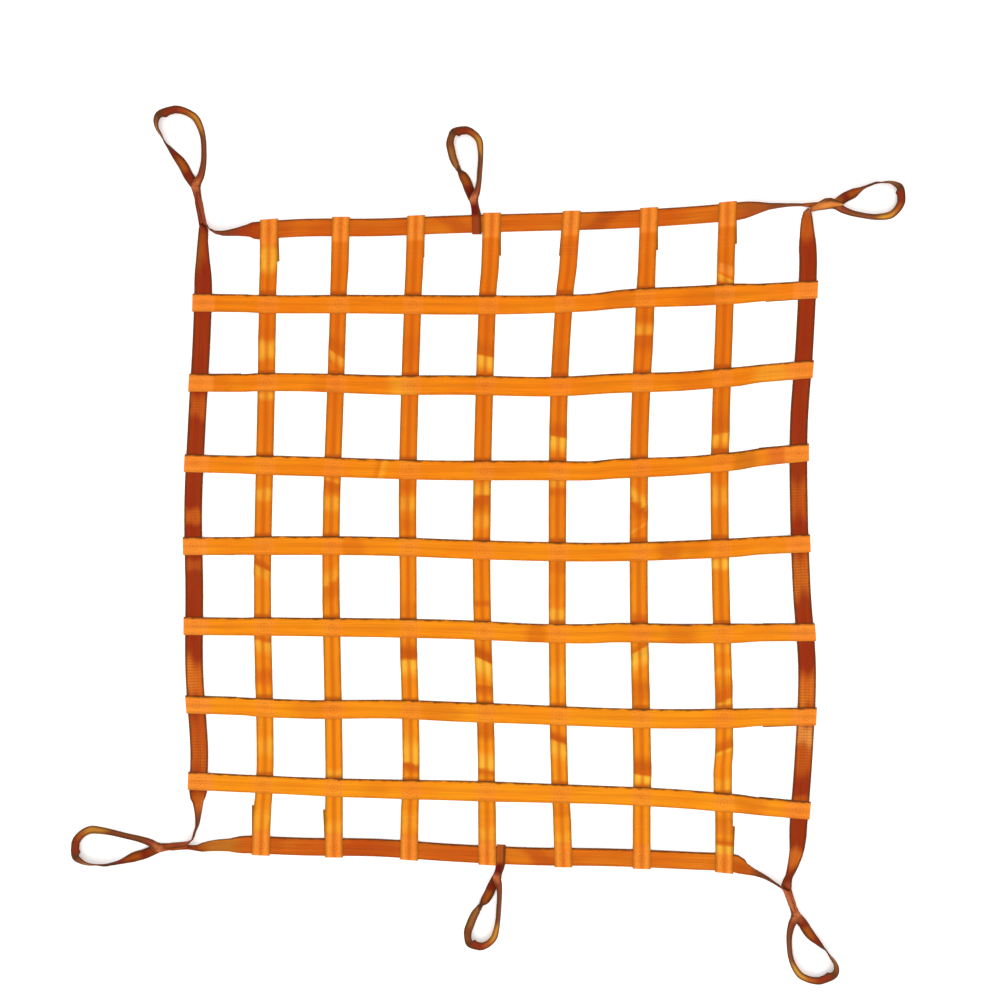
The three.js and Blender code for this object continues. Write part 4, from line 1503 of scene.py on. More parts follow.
@dataclass
class Border:
    """Border strap that turns up on edge and gathers into the necks at both its ends.

    Pairs are where a painted shade, a shape or a shade begins and where it is full.
    """

    name: str
    start: Neck
    end: Neck
    tone: Tone
    finish: WebbingFinish
    part: float = 14.0
    fine: float = 7.0
    gather: float = 0.9
    gather_waves: float = 2.6
    gather_slack: float = 18.0
    neck_margin: Pair = (-0.5, 4.0)
    upright_rise: Pair = (0.84, 0.99)
    upright_shade: float = 0.7
    gathered_width: Pair = (46.0, 30.0)
    gathered_edge: Pair = (0.3, 0.85)
    gathered_shade: float = 0.8
    knot_unshaded: float = 0.9
    flat_share: float = 0.86
    sections: list[Section] = field(default_factory=list)

    def __post_init__(self) -> None:
        """Works out the cross-sections."""
        self.sections = self._sections()

    def _in_neck(self, neck: Neck, offset: float) -> list[Section]:
        """Cross-sections of the border's end in a neck.

        Args:
            neck: the neck.
            offset: how far the end lies from the middle of the neck, below 0 on its under side.

        Returns:
            The sections from the base of the neck on.
        """
        width, thick = STOCK.border_gathered, STOCK.border_thick
        *whole, tip = neck.sections()[:BORDER_NECK_ROWS]
        if offset < 0 or not neck.row.leaf:
            made = [s.shifted(offset, width, thick) for s in whole]
            return [*made, tip.shifted(offset * TIP_OFFSET, width * TIP_WIDTH, thick * TIP_THICK)]
        lifted = offset * LEAF_LIFT
        made = [s.shifted(lifted, width, thick) for s in whole]
        made.append(tip.shifted(lifted, width * LEAF_WIDTH, thick * LEAF_THICK))
        open_out = [share * neck.row.leaf for share in LEAF_SHARES]
        leaf = [
            replace(s, centre=s.centre + s.across * more / 2, width=s.width + more)
            for s, more in zip(made, open_out)
        ]
        end = leaf[-1]
        point = end.centre + end.heading * LEAF_POINT - end.across * LEAF_DROP + UP * LEAF_RISE
        return [*leaf, replace(end, centre=point, width=end.width / LEAF_TAPER)]

    def _sections(self) -> list[Section]:
        """Cross-sections from one corner to the other.

        Returns:
            The sections.
        """
        before = [s.turned() for s in reversed(self._in_neck(self.start, STOCK.border_ply))]
        after = self._in_neck(self.end, -STOCK.border_ply)
        rows = BORDER_ROWS[self.name]
        through = [s.centre for s in before] + [(r.x, r.y) for r in rows] + [s.centre for s in after]
        plan = [on_floor(point) for point in through]
        line = PlanCurve(np.array(plan))
        last = len(plan) - 1
        made = list(before)
        for k, row in enumerate(rows):
            i = len(before) + k
            after_row = rows[min(k + 1, len(rows) - 1)]
            span = np.linalg.norm(plan[i + 1] - plan[i])
            parts = max(1, round(span / self.part)) if k + 1 < len(rows) else 1
            for p in range(parts):
                f = p / parts
                lean = mixed(row.lean, after_row.lean, f)
                width = mixed(row.width, after_row.width, f)
                centre = line.point((i + f) / last)
                seat = STOCK.border_seat * (lean / 90.0) ** 2
                centre[2] = seat + rest_height(lean, width, STOCK.border_thick)
                section = leaning(centre, line.heading((i + f) / last), lean, 1)
                made.append(replace(section, width=width, thick=STOCK.border_thick))
        return made + after

    def edge(self, axis: int, value: float, share: float) -> tuple[Array, Array]:
        """Point of the flat border where one of its coordinates has a value.

        Args:
            axis: 0 for x, 1 for y.
            value: the value of that coordinate.
            share: 1 for the outer edge, 0 for the middle, -1 for the inner edge.

        Returns:
            The point, and the direction outwards there.
        """
        flat = [s for s in self.sections if s.lean == 90.0]
        line = [s.centre + s.across * share * STOCK.border_width / 2 for s in flat]
        for i in range(len(line) - 1):
            a, b = line[i][axis] - value, line[i + 1][axis] - value
            if a * b <= 0:
                f = a / (a - b)
                outward = mixed(flat[i].across, flat[i + 1].across, f)
                return mixed(line[i], line[i + 1], f), unit(outward)
        raise ValueError(f"{self.name} is not flat at {value}")

    def _dye(self, points: Array, place: Array, lie: Array) -> Array:
        """Shade of the border at points on it.

        Args:
            points: the points.
            place: place of each across the border.
            lie: how far the border stands on edge and how far it is gathered at each ring.

        Returns:
            The shade at each.
        """
        axis = 0 if self.name in ("border_top", "border_bottom") else 1
        at = points[..., axis]
        shade = np.broadcast_to(self.tone.linear, points.shape).copy()
        shade = patched(shade, at, place, BORDER_PATCHES[self.name])
        for neck in (self.start, self.end):
            shade = neck.dyed(shade, points, place)
        # Painted shade where the border stands on edge and on its rims where it is gathered into a neck,
        # taken off near the knots.
        upright, gathered = lie[:, :, None]
        edges = self.gathered_shade * gathered * ramp(*self.gathered_edge, np.abs(place))
        sewn = np.maximum(self.start.sewn(points), self.end.sewn(points))
        soil_and_shade = np.maximum(self.upright_shade * upright, edges) * (1 - self.knot_unshaded * sewn)
        return mixed(shade, Tone.SHADE.linear, soil_and_shade[..., None])

    def build(self) -> None:
        """Makes the border's mesh and dresses it."""
        ribbon = Ribbon.through(self.sections).refined(self.fine)
        profile = Profile.band(STOCK.border_width, STOCK.border_thick)
        points = ribbon.surface(profile)
        u = profile.columns()[2]
        width = np.linalg.norm(ribbon.right - ribbon.left, axis=1)
        slack = np.clip((STOCK.border_width - width) / self.gather_slack, 0.0, 1.0)
        slack *= ramp(*(STOCK.border_gathered + margin for margin in self.neck_margin), width)
        ripple = np.cos(u * self.gather_waves * math.pi) * self.gather
        unit_rise = ribbon.rise_left / np.linalg.norm(ribbon.rise_left, axis=1, keepdims=True)
        points = above_floor(points + unit_rise[:, None] * (slack[:, None] * ripple)[..., None])
        upright = ramp(*self.upright_rise, np.abs(ribbon.right - ribbon.left)[:, 2] / width)
        lie = np.stack([upright, ramp(*self.gathered_width, width)])
        dye = self._dye(points, u[None, :], lie)
        flatness = ramp(self.flat_share * STOCK.border_width, STOCK.border_width, width)
        skin = Skin(points, u, ribbon.run(), dye, flat=flatness[:, None])
        cut = (STOCK.border_width, ribbon.length())
        dress(skin.build(self.name + "_webbing"), self.name, self.finish)


@dataclass(frozen=True)
class StrapEnd:
    """Place where a strap is folded round a border."""

    at: float
    sign: int
    border: Border
    tail: float
    shift: float


@dataclass(frozen=True)
class Station:
    """Place on a strap: position of both its edges along it, height and sideways shift."""

    along: Array
    z: float
    shift: float = 0.0


@dataclass
class Strap:
    """Strap of the net with both ends folded round the borders, crossings and standing folds.

    Pairs are the distances or heights where something begins and where it is full.
    """

    row: StrapRow
    lay: Lay
    low: StrapEnd
    high: StrapEnd
    tones: tuple[Tone, Tone]
    finish: WebbingFinish
    seed: int
    turn_steps: int = 10
    step_parts: int = 8
    fold_parts: int = 16
    free_parts: int = 12
    shortest_free: float = 30.0
    fine: float = 9.0
    weave_apart: float = 3700.0
    held_reach: Pair = (110.0, 190.0)
    tail_shade: float = 0.5
    shadow: float = 0.82
    shadow_near: Pair = (22.0, 25.0)
    shadow_far: Pair = (41.0, 27.0)
    crossing_sewn: float = 0.4
    crossing_reach: Pair = (29.0, 23.0)
    end_sewn: float = 0.8
    end_rise: Pair = (3.6, 6.8)
    end_from: float = 750.0
    box_half: float = 19.0
    box_soil: float = 0.15
    rings: Pair = (11.0, 4.0)
    ring_soil: float = 0.7
    seam_half: float = 20.0
    seam_inset: float = 8.0
    seam_apart: float = 14.0
    crossings: list[float] = field(default_factory=list)

    @property
    def line(self) -> SmoothLine:
        """Middle line of the strap in plan."""
        stations = V_STATIONS if self.lay is Lay.LENGTHWISE else H_STATIONS
        return SmoothLine(stations, self.row.line)

    @property
    def level(self) -> float:
        """Height of the middle of the strap at the crossings."""
        return STOCK.floor_mid if self.lay is Lay.LENGTHWISE else STOCK.over_strap_mid

    @property
    def sag(self) -> float:
        """How far the strap sinks between the crossings."""
        return 0.0 if self.lay is Lay.LENGTHWISE else STOCK.crosswise_sag

    @property
    def folds(self) -> tuple[Fold, ...]:
        """Folds of the strap, from its high end to its low end."""
        return FOLDS.get(self.row.name, ())

    def at(self, along: Any, across: Any, z: Any) -> Array:
        """Points from places along and across the strap."""
        pair = (across, along) if self.lay is Lay.LENGTHWISE else (along, across)
        return np.stack(np.broadcast_arrays(*pair, z), axis=-1).astype(float)

    def cross(self, others: Sequence[Strap]) -> None:
        """Finds the crossings.

        Args:
            others: the straps that run the other way.
        """
        places = []
        for other in others:
            along = other.line.at(self.line.at(0.0))
            places.append(other.line.at(self.line.at(along)))
        self.crossings = sorted(places, reverse=True)

    def edges(self, end: StrapEnd, share: float) -> Array:
        """Place along the strap where both its edges meet an edge of the border.

        Args:
            end: the end of the strap.
            share: 1 for the outer edge of the border, -1 for the inner edge.

        Returns:
            The place of its low edge and of its high edge.
        """
        axis = 0 if self.lay is Lay.LENGTHWISE else 1
        middle = self.line.at(end.at)
        half = STOCK.strap_width / 2
        return np.array(
            [end.border.edge(axis, middle + side * half, share)[0][1 - axis] for side in (-1, 1)]
        )

    def _end(self, end: StrapEnd) -> list[Station]:
        """Stations from the tip of a tail round the border and down to the strap's level.

        Args:
            end: the end of the strap.

        Returns:
            The stations.
        """
        outer, inner = self.edges(end, 1), self.edges(end, -1)
        rows = [Station(outer - end.sign * end.tail, STOCK.floor_mid, end.shift)]
        for turn in np.linspace(0.0, math.pi, self.turn_steps + 1):
            bulge = STOCK.turn_clear + STOCK.turn_radius * math.sin(turn)
            z = STOCK.border_mid - STOCK.turn_radius * math.cos(turn)
            rows.append(Station(outer + end.sign * bulge, z))
        for f in np.linspace(0.0, 1.0, self.step_parts + 1):
            inset = STOCK.step_margin + STOCK.step_length * f
            drop = (STOCK.over_strap_mid - STOCK.over_border_mid) * ease(f)
            rows.append(Station(inner - end.sign * inset, STOCK.over_border_mid + drop))
        if self.lay is Lay.CROSSWISE:
            inset = end.tail + STOCK.tail_margin
            return [*rows, Station(outer - end.sign * inset, self.level)]
        for f in np.linspace(0.0, 1.0, self.step_parts + 1):
            inset = end.tail + STOCK.tail_margin + STOCK.tail_step * f
            drop = (self.level - STOCK.over_strap_mid) * ease(f)
            rows.append(Station(outer - end.sign * inset, STOCK.over_strap_mid + drop))
        return rows

    def _free(self, start: float, stop: float) -> list[Station]:
        """Stations of the free webbing between two places, with the folds that stand in it.

        Args:
            start: the place nearer the high end.
            stop: the place nearer the low end.

        Returns:
            The stations.
        """
        side = np.array([-0.5, 0.5])
        folds = [fold for fold in self.folds if stop < fold.at < start]
        rows = []
        for fold in folds:
            for f in np.linspace(1.0, -1.0, self.fold_parts + 1):
                z = self.level - self.sag / 2 * (1 - abs(f))
                z += fold.rise * math.cos(f * math.pi / 2) ** 2
                rows.append(Station(fold.at + f * fold.reach + side * fold.slant, z))
        if folds or start - stop < self.shortest_free:
            return rows
        for f in np.linspace(0.0, 1.0, self.free_parts + 1)[1:-1]:
            along = mixed(start, stop, f)
            sink = self.sag * ease(min(1.0, 3 * f, 3 * (1 - f)))
            rows.append(Station(np.array([along, along]), self.level - sink))
        return rows

    def _stations(self) -> list[Station]:
        """Stations of the whole strap, from its high tail to its low tail.

        Returns:
            The stations.
        """
        high = self._end(self.high)
        low = self._end(self.low)[::-1]
        rows = list(high)
        start = float(high[-1].along.min())
        for at in self.crossings:
            rows += self._free(start, at + STOCK.crossing_half)
            for edge in (at + STOCK.crossing_half, at - STOCK.crossing_half):
                rows.append(Station(np.array([edge, edge]), self.level))
            start = at - STOCK.crossing_half
        return [*rows, *self._free(start, float(low[0].along.max())), *low]

    def _wander(self, along: Array, side: int) -> Array:
        """Sideways wander of an edge, none where the strap is folded round a border.

        Args:
            along: places along the strap.
            side: 0 for its low edge, 1 for its high edge.

        Returns:
            The wander at each place.
        """
        near, far = self.held_reach
        free = ramp(self.low.at + near, self.low.at + far, along)
        free = free * ramp(self.high.at - near, self.high.at - far, along)
        rows = SWAYS[self.row.name]
        places = [row.at for row in rows]
        line = SmoothLine(places, [row.high if side else row.low for row in rows])
        held = np.clip(along, places[0], places[-1])
        return np.array([line.at(place) for place in held]) * free

    def ribbon(self) -> Ribbon:
        """Both edges of the strap along its length.

        Returns:
            The ribbon.
        """
        stations = self._stations()
        z = np.array([s.z for s in stations])
        shift = np.array([s.shift for s in stations])
        sides = []
        for k, side in enumerate((-1, 1)):
            along = np.array([s.along[k] for s in stations])
            middle = np.array([self.line.at(a) for a in along])
            across = middle + side * STOCK.strap_width / 2 + shift + self._wander(along, k)
            step = np.diff(np.stack([along, z], axis=1), axis=0)
            step /= np.linalg.norm(step, axis=1, keepdims=True)
            before, after = np.vstack([step[:1], step]), np.vstack([step, step[-1:]])
            bend = before + after
            bend /= np.linalg.norm(bend, axis=1, keepdims=True)
            bend /= np.sum(bend * before, axis=1, keepdims=True)
            rise = self.at(-bend[:, 1], 0.0, bend[:, 0]) * STOCK.strap_thick / 2
            sides.append((self.at(along, across, z), rise))
        dye = np.ones((len(stations), 3))
        dye[:2] = dye[-2:] = self.tail_shade
        (left, rise_left), (right, rise_right) = sides
        return Ribbon(left, right, rise_left, rise_right, dye)

    def _dye(self, points: Array, share: Array) -> Array:
        """Shade of the strap at points on it: patches, creases, crossings and sewn ends, with painted
        light and shade.

        Args:
            points: the points.
            share: place of each across the strap.

        Returns:
            The shade at each.
        """
        lengthwise = self.lay is Lay.LENGTHWISE
        along = points[..., 1 if lengthwise else 0]
        painted_highlight, painted_shade, painted_shadow, sewn = (np.zeros(along.shape) for _ in range(4))
        # Painted highlight and painted shade on the two sides of each crease.
        for crease in CREASES.get(self.row.name, ()):
            d = along - crease.at - share * crease.slant / 2
            painted_highlight = np.maximum(painted_highlight, self._beside(d, crease.light, crease.lit))
            painted_shade = np.maximum(painted_shade, self._beside(d, crease.dark, crease.dim))
        # Painted shadow of each crosswise strap on a lengthwise strap, in a band just above the
        # crossing; crosswise straps are lighter where they are sewn.
        for at in self.crossings:
            d = along - at
            if lengthwise:
                shadow = self.shadow * ramp(*self.shadow_near, d) * ramp(*self.shadow_far, d)
                painted_shadow = np.maximum(painted_shadow, shadow)
            else:
                sewn = np.maximum(sewn, self.crossing_sewn * ramp(*self.crossing_reach, np.abs(d)))
        raised = ramp(*self.end_rise, points[..., 2]) * (np.abs(along) > self.end_from)
        sewn = np.maximum(sewn, self.end_sewn * raised)
        # Painted light: lighter and yellower towards the near side of the net, where the light comes
        # from.
        far, near = (tone.linear for tone in self.tones)
        shade = mixed(near, far, ramp(*PAINTED_LIGHT_FADE, points[..., 1])[..., None])
        shade = patched(shade, along, share, STRAP_PATCHES[self.row.name])
        amounts = ((Tone.SEWN, sewn), (Tone.GOLD, painted_highlight), (Tone.RUST, painted_shade), (Tone.DUSK, painted_shadow))
        for tone, amount in amounts:
            shade = mixed(shade, tone.linear, amount[..., None])
        return shade

    @staticmethod
    def _beside(away: Array, reach: float, most: float) -> Array:
        """Share of a painted tone, highlight and shade alike, on one side of a crease.

        Args:
            away: distance of points from the crease.
            reach: how far the tone goes, below 0 on the low side, 0 for none.
            most: its share next to the crease.

        Returns:
            The share at each point.
        """
        if not reach:
            return np.zeros(away.shape)
        t = away / reach
        edge = ramp(*(side / abs(reach) for side in CREASE_EDGE), t)
        return most * edge * ramp(*CREASE_FADE, t)

    def _stitches(self) -> bpy.types.Object:
        """Sews the strap to what it crosses and to the borders.

        Returns:
            The stitching.
        """
        thread = Stitching()
        top = STOCK.strap_thick / 2
        marks = [] if self.lay is Lay.LENGTHWISE else [(at, self.level + top) for at in self.crossings]
        for end in (self.low, self.high):
            middle = (self.edges(end, 1).mean() + self.edges(end, -1).mean()) / 2
            marks.append((float(middle), STOCK.over_border_mid + top))
        box = square(self.box_half, self.box_half)
        rows = {self.box_soil: [box], self.ring_soil: [circle(radius) for radius in self.rings]}
        reach = 5.0
        for at, z in marks:
            slope = (self.line.at(at + reach) - self.line.at(at - reach)) / (2 * reach)
            centre = self.at(at, self.line.at(at), z)
            thread.sew_flat(centre, unit(self.at(1.0, slope, 0.0)), rows)
        seam = np.array([(0.0, -self.seam_half), (0.0, self.seam_half)])
        for end in (self.low, self.high):
            tip = float(self.edges(end, 1).mean()) - end.sign * (end.tail - self.seam_inset)
            centre = self.at(tip, self.line.at(tip), STOCK.over_strap_mid + top)
            second = seam + (end.sign * self.seam_apart, 0.0)
            thread.sew_flat(centre, unit(self.at(1.0, 0.0, 0.0)), {0.0: [seam, second]})
        return thread.build(self.row.name + "_stitching")

    def build(self, thread: bpy.types.Material) -> None:
        """Makes the strap's mesh and its stitching, and dresses them.

        Args:
            thread: the material of the thread.
        """
        ribbon = self.ribbon().refined(self.fine)
        profile = Profile.band(STOCK.strap_width, STOCK.strap_thick)
        points = above_floor(ribbon.surface(profile))
        u = profile.columns()[2]
        run = ribbon.run() + self.seed * self.weave_apart
        dye = self._dye(points, u[None, :]) * ribbon.dye[:, None]
        piece = Skin(points, u, run, dye).build(self.row.name + "_webbing")
        stitching = self._stitches()
        stitching.data.materials.append(thread)
        cut = (STOCK.strap_width, ribbon.length())
        dress(piece, self.row.name, self.finish)


@dataclass
class Loop:
    """Lifting eye of webbing folded in half along its length."""

    row: LoopRow
    finish: WebbingFinish
    seed: int
    eye_parts: int = 6
    fine: float = 6.0
    calm: int = 5
    form: tuple[EyeRow, ...] = EYE_ROWS
    tuck: float = 5.0
    tuck_reach: float = 0.55
    tuck_before: float = 0.2
    opened: float = 0.0
    turning: float = 28.0
    weave_apart: float = 2300.0
    groove_reach: float = 14.0

    def layers(self) -> tuple[list[Section], list[Section], list[Section]]:
        """Cross-sections of the way up the neck, of the way down, and of what closes the loop."""
        raise NotImplementedError

    def _eye(self, up: list[Section], down: list[Section]) -> list[Section]:
        """Cross-sections of the eye between the two layers of its neck.

        Args:
            up: sections of the layer that goes up the neck.
            down: sections of the layer that comes down.

        Returns:
            The sections.
        """
        row = self.row
        along = row.direction
        aside = np.cross(UP, along) * row.side
        throat = on_floor(row.throat)
        plan = []
        for i, mark in enumerate(self.form):
            bow = row.bows[0] if i <= CROWN_ROW else row.bows[1]
            bowed = mark.aside + bow * math.sin(math.pi * min(mark.along / BOW_LENGTH, 1.0))
            plan.append(throat + along * mark.along * row.length + aside * bowed * row.width / 2)
        before, after = up[-2:], down[:2]
        plan = [*(on_floor(s.centre) for s in before), *plan, *(on_floor(s.centre) for s in after)]
        own = [m.lean for m in self.form]
        own[TURNING_ROWS] = [max(t - row.sooner, min(t, ON_EDGE)) for t in own[TURNING_ROWS]]
        leans = [*(s.lean for s in before), *own, *(s.lean for s in after)]
        dyes = [row.tone, row.tone, *(m.tone for m in self.form), Tone.THROAT, row.tone]
        # The throat takes a painted highlight where the eye comes back down into the neck.
        down[0].dye = Tone.THROAT.linear
        down[1].dye = (Tone.THROAT.linear + down[1].dye) / 2
        line = PlanCurve(np.array(plan))
        last = len(plan) - 1
        crown = len(before) + CROWN_ROW
        chord = unit(plan[crown + 1] - plan[crown])
        places, tilts, shades, headings, tucks = [], [], [], [], []
        for i in range(1, last - 1):
            for k in range(self.eye_parts):
                f = k / self.eye_parts
                straight = i == crown or (i == crown + 1 and k == 0)
                chordal = mixed(plan[i], plan[i + 1], f)
                places.append(chordal if i == crown else line.point((i + f) / last))
                headings.append(chord if straight else line.heading((i + f) / last))
                tilts.append(mixed(leans[i], leans[i + 1], f))
                shades.append(mixed(dyes[i].linear, dyes[i + 1].linear, ease(f)))
                off = min(1.0, abs(i + f - crown + self.tuck_before) / self.tuck_reach)
                tucks.append(self.tuck * math.cos(off * math.pi / 2) ** 2)
        tilt = np.array(tilts)
        for _ in range(self.calm):
            tilt[1:-1] = (tilt[:-2] + 2 * tilt[1:-1] + tilt[2:]) / 4
        made = []
        for centre, heading, lean, dye, tuck in zip(places, headings, tilt, shades, tucks):
            thick = STOCK.loop_thick + self.opened * ramp(self.turning, 0.0, abs(lean))
            height = rest_height(lean, STOCK.loop_width, thick)
            section = leaning(np.array([*centre[:2], height]), heading, lean, row.side)
            middle = section.centre + section.across * tuck / 2
            width = STOCK.loop_width + tuck
            made.append(replace(section, centre=middle, width=width, thick=thick, dye=dye))
        return made[1:]

    def soiled(self, shade: Array, points: Array) -> Array:
        """Shade of the loop where it is sewn in; as it is unless a kind of loop says otherwise."""
        return shade

    def build(self) -> None:
        """Makes the loop's mesh and dresses it."""
        up, down, closing = self.layers()
        sections = [*up, *self._eye(up, down), *down, *closing]
        ribbon = Ribbon.through(sections, bool(closing)).refined(self.fine)
        profile = Profile.folded(STOCK.loop_slit / STOCK.loop_thick)
        points = above_floor(ribbon.surface(profile))
        u = profile.columns()[2]
        run = ribbon.run() + self.seed * self.weave_apart
        dye = self.soiled(np.broadcast_to(ribbon.dye[:, None], points.shape), points)
        beyond = (points[..., :2] - self.row.throat) @ self.row.direction[:2]
        flat = ramp(0.0, self.groove_reach, beyond)
        skin = Skin(points, u, run, dye, ribbon.endless, flat)
        cut = (STOCK.loop_cut, ribbon.length())
        dress(skin.build(self.row.name + "_webbing"), self.row.name, self.finish)


@dataclass
class CornerLoop(Loop):
    """Eye at a corner, both ends sewn between two border ends in the neck."""

    neck: Neck | None = None
    tucked: float = 0.86

    def layers(self) -> tuple[list[Section], list[Section], list[Section]]:
        """Cross-sections of the loop's two layers in the neck.

        Returns:
            The way up the neck, the way down, and none to close the loop.
        """
        size = (STOCK.loop_width, STOCK.loop_thick)
        up = [s.shifted(-STOCK.loop_ply, *size) for s in self.neck.sections()]
        down = [s.shifted(STOCK.loop_ply, *size).turned() for s in reversed(self.neck.sections())]
        up[0].width *= self.tucked
        down[-1].width *= self.tucked
        return up, down, []

    def soiled(self, shade: Array, points: Array) -> Array:
        """Shade of the loop, red where it is sewn in."""
        return self.neck.knotted(shade, points)


@dataclass
class WrapLoop(Loop):
    """Endless eye that passes over a border, round its inner edge and back beneath."""

    form: tuple[EyeRow, ...] = MIDDLE_EYE_ROWS
    opened: float = 10.0
    border: Border | None = None
    wrap_steps: int = 10
    inset: float = 12.0

    def layers(self) -> tuple[list[Section], list[Section], list[Section]]:
        """Cross-sections of the loop's two layers and of its wrap round the border.

        Returns:
            The way up the neck, the way down, and the wrap.
        """
        row = self.row
        point, outward = self.border.edge(0, row.base[0], 0.0)
        edge = STOCK.border_width / 2
        base = point + outward * (edge + STOCK.step_margin)
        base[2] = 0.0
        neck = Neck(row, base, STOCK.ring_half).sections()
        pressed = leaning(base + UP * STOCK.border_mid, outward, 90.0, row.side)
        pressed.dye = row.tone.linear
        inner = replace(
            pressed, centre=pressed.centre - outward * self.inset, dye=row.wrap_tone.linear
        )
        size = (STOCK.loop_width, STOCK.loop_thick)
        flat = (row.wrap_width, STOCK.loop_pressed)
        under, over = (
            [s.shifted(side * STOCK.turn_radius, *flat) for s in (inner, pressed)] for side in (-1, 1)
        )
        up = under + [s.shifted(-STOCK.loop_ply, *size) for s in neck[1:]]
        down = over + [s.shifted(STOCK.loop_ply, *size) for s in neck[1:]]
        centre = point - outward * (edge + STOCK.turn_clear)
        centre[2] = STOCK.border_mid
        wrap = []
        for turn in np.linspace(0.0, math.pi, self.wrap_steps + 1):
            out = outward * math.sin(turn) - UP * math.cos(turn)
            wrap.append(replace(
                inner, centre=centre - out * STOCK.turn_radius, out=out,
                width=flat[0], thick=flat[1],
            ))
        return up, [s.turned() for s in reversed(down)], wrap


@dataclass
class Studio:
    """Pale floor, soft light and the camera above the net, in metres and degrees."""

    floor_half: float = 120.0
    view_width: float = 2.8
    view_centre: Pair = (0.0476, 0.14)
    lens: float = 85.0
    sensor: float = 36.0
    sun_strength: float = 0.9
    sun_height: float = 45.0
    sun_spread: float = 40.0
    sun_turn: float = -8.0
    far_clip: float = 500.0
    fill: float = 1.15

    def build(self) -> None:
        """Makes the floor, the lights and the camera."""
        h = self.floor_half
        mesh = bpy.data.meshes.new("floor")
        mesh.from_pydata([(-h, -h, 0), (h, -h, 0), (h, h, 0), (-h, h, 0)], [], [(0, 1, 2, 3)])
        mesh.materials.append(FloorFinish().material())
        floor = bpy.data.objects.new("floor", mesh)
        bpy.context.scene.collection.objects.link(floor)
        self._lights()
        self._camera()
        bpy.context.scene.view_settings.view_transform = "Standard"
        LOG.info("studio: floor, sun from below the picture, even fill, camera straight above")

    def _lights(self) -> None:
        """Makes a broad sun from the near side and an even fill."""
        lamp = bpy.data.lights.new("key", "SUN")
        lamp.energy = self.sun_strength
        lamp.angle = math.radians(self.sun_spread)
        key = bpy.data.objects.new("key", lamp)
        turns = (90.0 - self.sun_height, 0.0, self.sun_turn)
        key.rotation_euler = tuple(math.radians(turn) for turn in turns)
        bpy.context.scene.collection.objects.link(key)
        world = bpy.data.worlds.new("fill")
        world.use_nodes = True
        background = world.node_tree.nodes["Background"]
        background.inputs["Color"].default_value = (1.0, 1.0, 1.0, 1.0)
        background.inputs["Strength"].default_value = self.fill
        bpy.context.scene.world = world

    def _camera(self) -> None:
        """Makes the camera straight above the net."""
        data = bpy.data.cameras.new("camera")
        data.lens = self.lens
        data.sensor_width = self.sensor
        data.clip_end = self.far_clip
        camera = bpy.data.objects.new("camera", data)
        height = self.view_width * self.lens / self.sensor
        camera.location = (*self.view_centre, height)
        bpy.context.scene.collection.objects.link(camera)
        bpy.context.scene.camera = camera


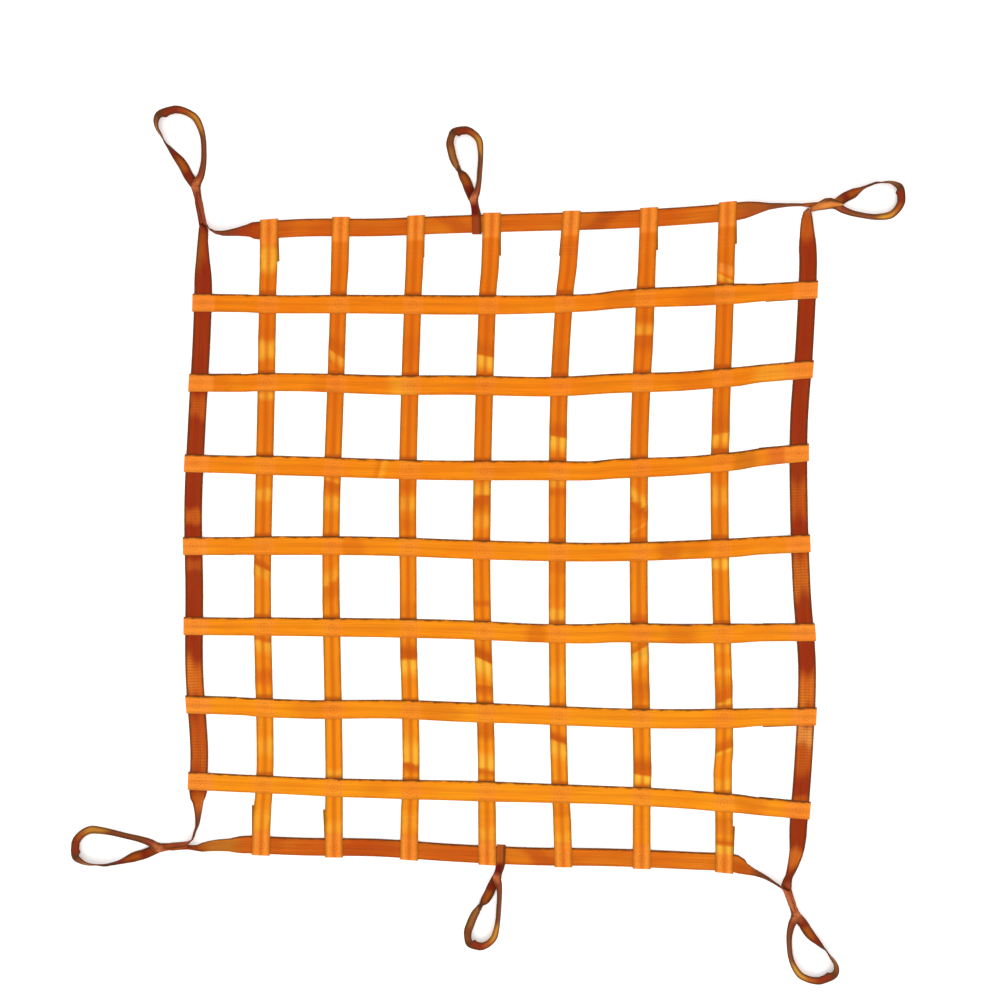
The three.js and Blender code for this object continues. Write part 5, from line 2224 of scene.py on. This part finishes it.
@dataclass
class CargoNet:
    """The whole net: borders, straps, eyes and their thread."""

    necks: dict[str, Neck] = field(default_factory=dict)
    borders: dict[str, Border] = field(default_factory=dict)
    straps: list[Strap] = field(default_factory=list)
    loops: list[Loop] = field(default_factory=list)

    def __post_init__(self) -> None:
        """Lays out every piece."""
        for row in CORNER_ROWS:
            self.necks[row.name] = Neck(row, on_floor(row.base), STOCK.neck_half)
        self._lay_borders()
        self._lay_straps()
        # The fold and both edges of the eyes are painted dark, as shade.
        finish = WebbingFinish(
            "loop", groove=0.8, groove_tone=Tone.SHADE, band=0.0, streak=0.8, patch=0.6,
            groove_half=0.46, low_edge=0.85, high_edge=0.85, low_start=0.56, high_start=0.56,
            edge_reach=0.32,
        )
        for k, row in enumerate(CORNER_ROWS):
            self.loops.append(CornerLoop(row, finish, k, neck=self.necks[row.name]))
        for k, row in enumerate(WRAP_ROWS, len(CORNER_ROWS)):
            self.loops.append(WrapLoop(row, finish, k, border=self.borders[row.border]))

    def _lay_borders(self) -> None:
        """Lays out the four borders, walked clockwise."""
        # Dark edges are painted shade; the upper edge of the top border and the inner edge of the bottom
        # border take the most, as a shadow.
        top = WebbingFinish(
            "border_top", groove=0.0, streak=0.7, patch=0.7, rib=0.12, low_edge=0.25,
            high_edge=0.75, low_start=0.78, high_start=0.72,
        )
        bottom = replace(top, low_edge=0.9, high_edge=0.25, low_start=0.7)
        upright = replace(top, rib=0.7, low_edge=0.75, high_edge=0.75, low_start=0.68, high_start=0.68)
        # The borders that run up the net are painted darker and redder than the top and bottom ones,
        # standing in for the sheen the weave takes from the light.
        course = (
            ("border_top", "loop_top_left", "loop_top_right", Tone.TOP, top),
            ("border_right", "loop_top_right", "loop_bottom_right", Tone.BRICK, upright),
            ("border_bottom", "loop_bottom_right", "loop_bottom_left", Tone.BOTTOM, bottom),
            ("border_left", "loop_bottom_left", "loop_top_left", Tone.BRICK, upright),
        )
        for name, start, end, tone, finish in course:
            ends = (self.necks[start], self.necks[end])
            self.borders[name] = Border(name, *ends, tone, replace(finish, slot=name))

    def _lay_straps(self) -> None:
        """Lays out the lengthwise and the crosswise straps."""
        # Dark edges are painted shade: both edges of the lengthwise straps, and most of all the upper
        # edge of each crosswise strap, where it stands in for its shadow.
        upright = WebbingFinish(
            "strap_v", groove=0.6, groove_half=0.4, low_edge=0.75, high_edge=0.75, low_start=0.62,
            high_start=0.62, edge_reach=0.4, edge_tone=Tone.OLIVE,
        )
        level = WebbingFinish(
            "strap_h", groove=0.15, streak=0.65, low_edge=0.25, high_edge=0.92, low_start=0.72,
            high_start=0.72, edge_reach=0.24, ragged=0.45,
        )
        courses = (
            (V_ROWS, Lay.LENGTHWISE, V_STATIONS, "border_bottom", "border_top", upright),
            (H_ROWS, Lay.CROSSWISE, H_STATIONS, "border_left", "border_right", level),
        )
        made = []
        for rows, lay, stations, low, high, finish in courses:
            made.append([])
            for row in rows:
                ends = (
                    StrapEnd(stations[0], -1, self.borders[low], row.tails[0], row.shifts[0]),
                    StrapEnd(stations[-1], 1, self.borders[high], row.tails[1], row.shifts[1]),
                )
                seed = len(self.straps) + len(made[-1])
                made[-1].append(Strap(row, lay, *ends, STRAP_TONES[lay], finish, seed))
            self.straps += made[-1]
        for own, others in ((made[0], made[1]), (made[1], made[0])):
            for strap in own:
                strap.cross(others)

    def build(self) -> None:
        """Makes every piece in turn."""
        thread = ThreadFinish().material()
        for border in self.borders.values():
            border.build()
        for strap in self.straps:
            strap.build(thread)
        for loop in self.loops:
            loop.build()


def main() -> None:
    """Builds the net and its studio."""
    logging.basicConfig(level=logging.INFO, format="%(name)s %(message)s")
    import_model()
    Studio().build()
    CargoNet().build()


if __name__ == "__main__":
    main()
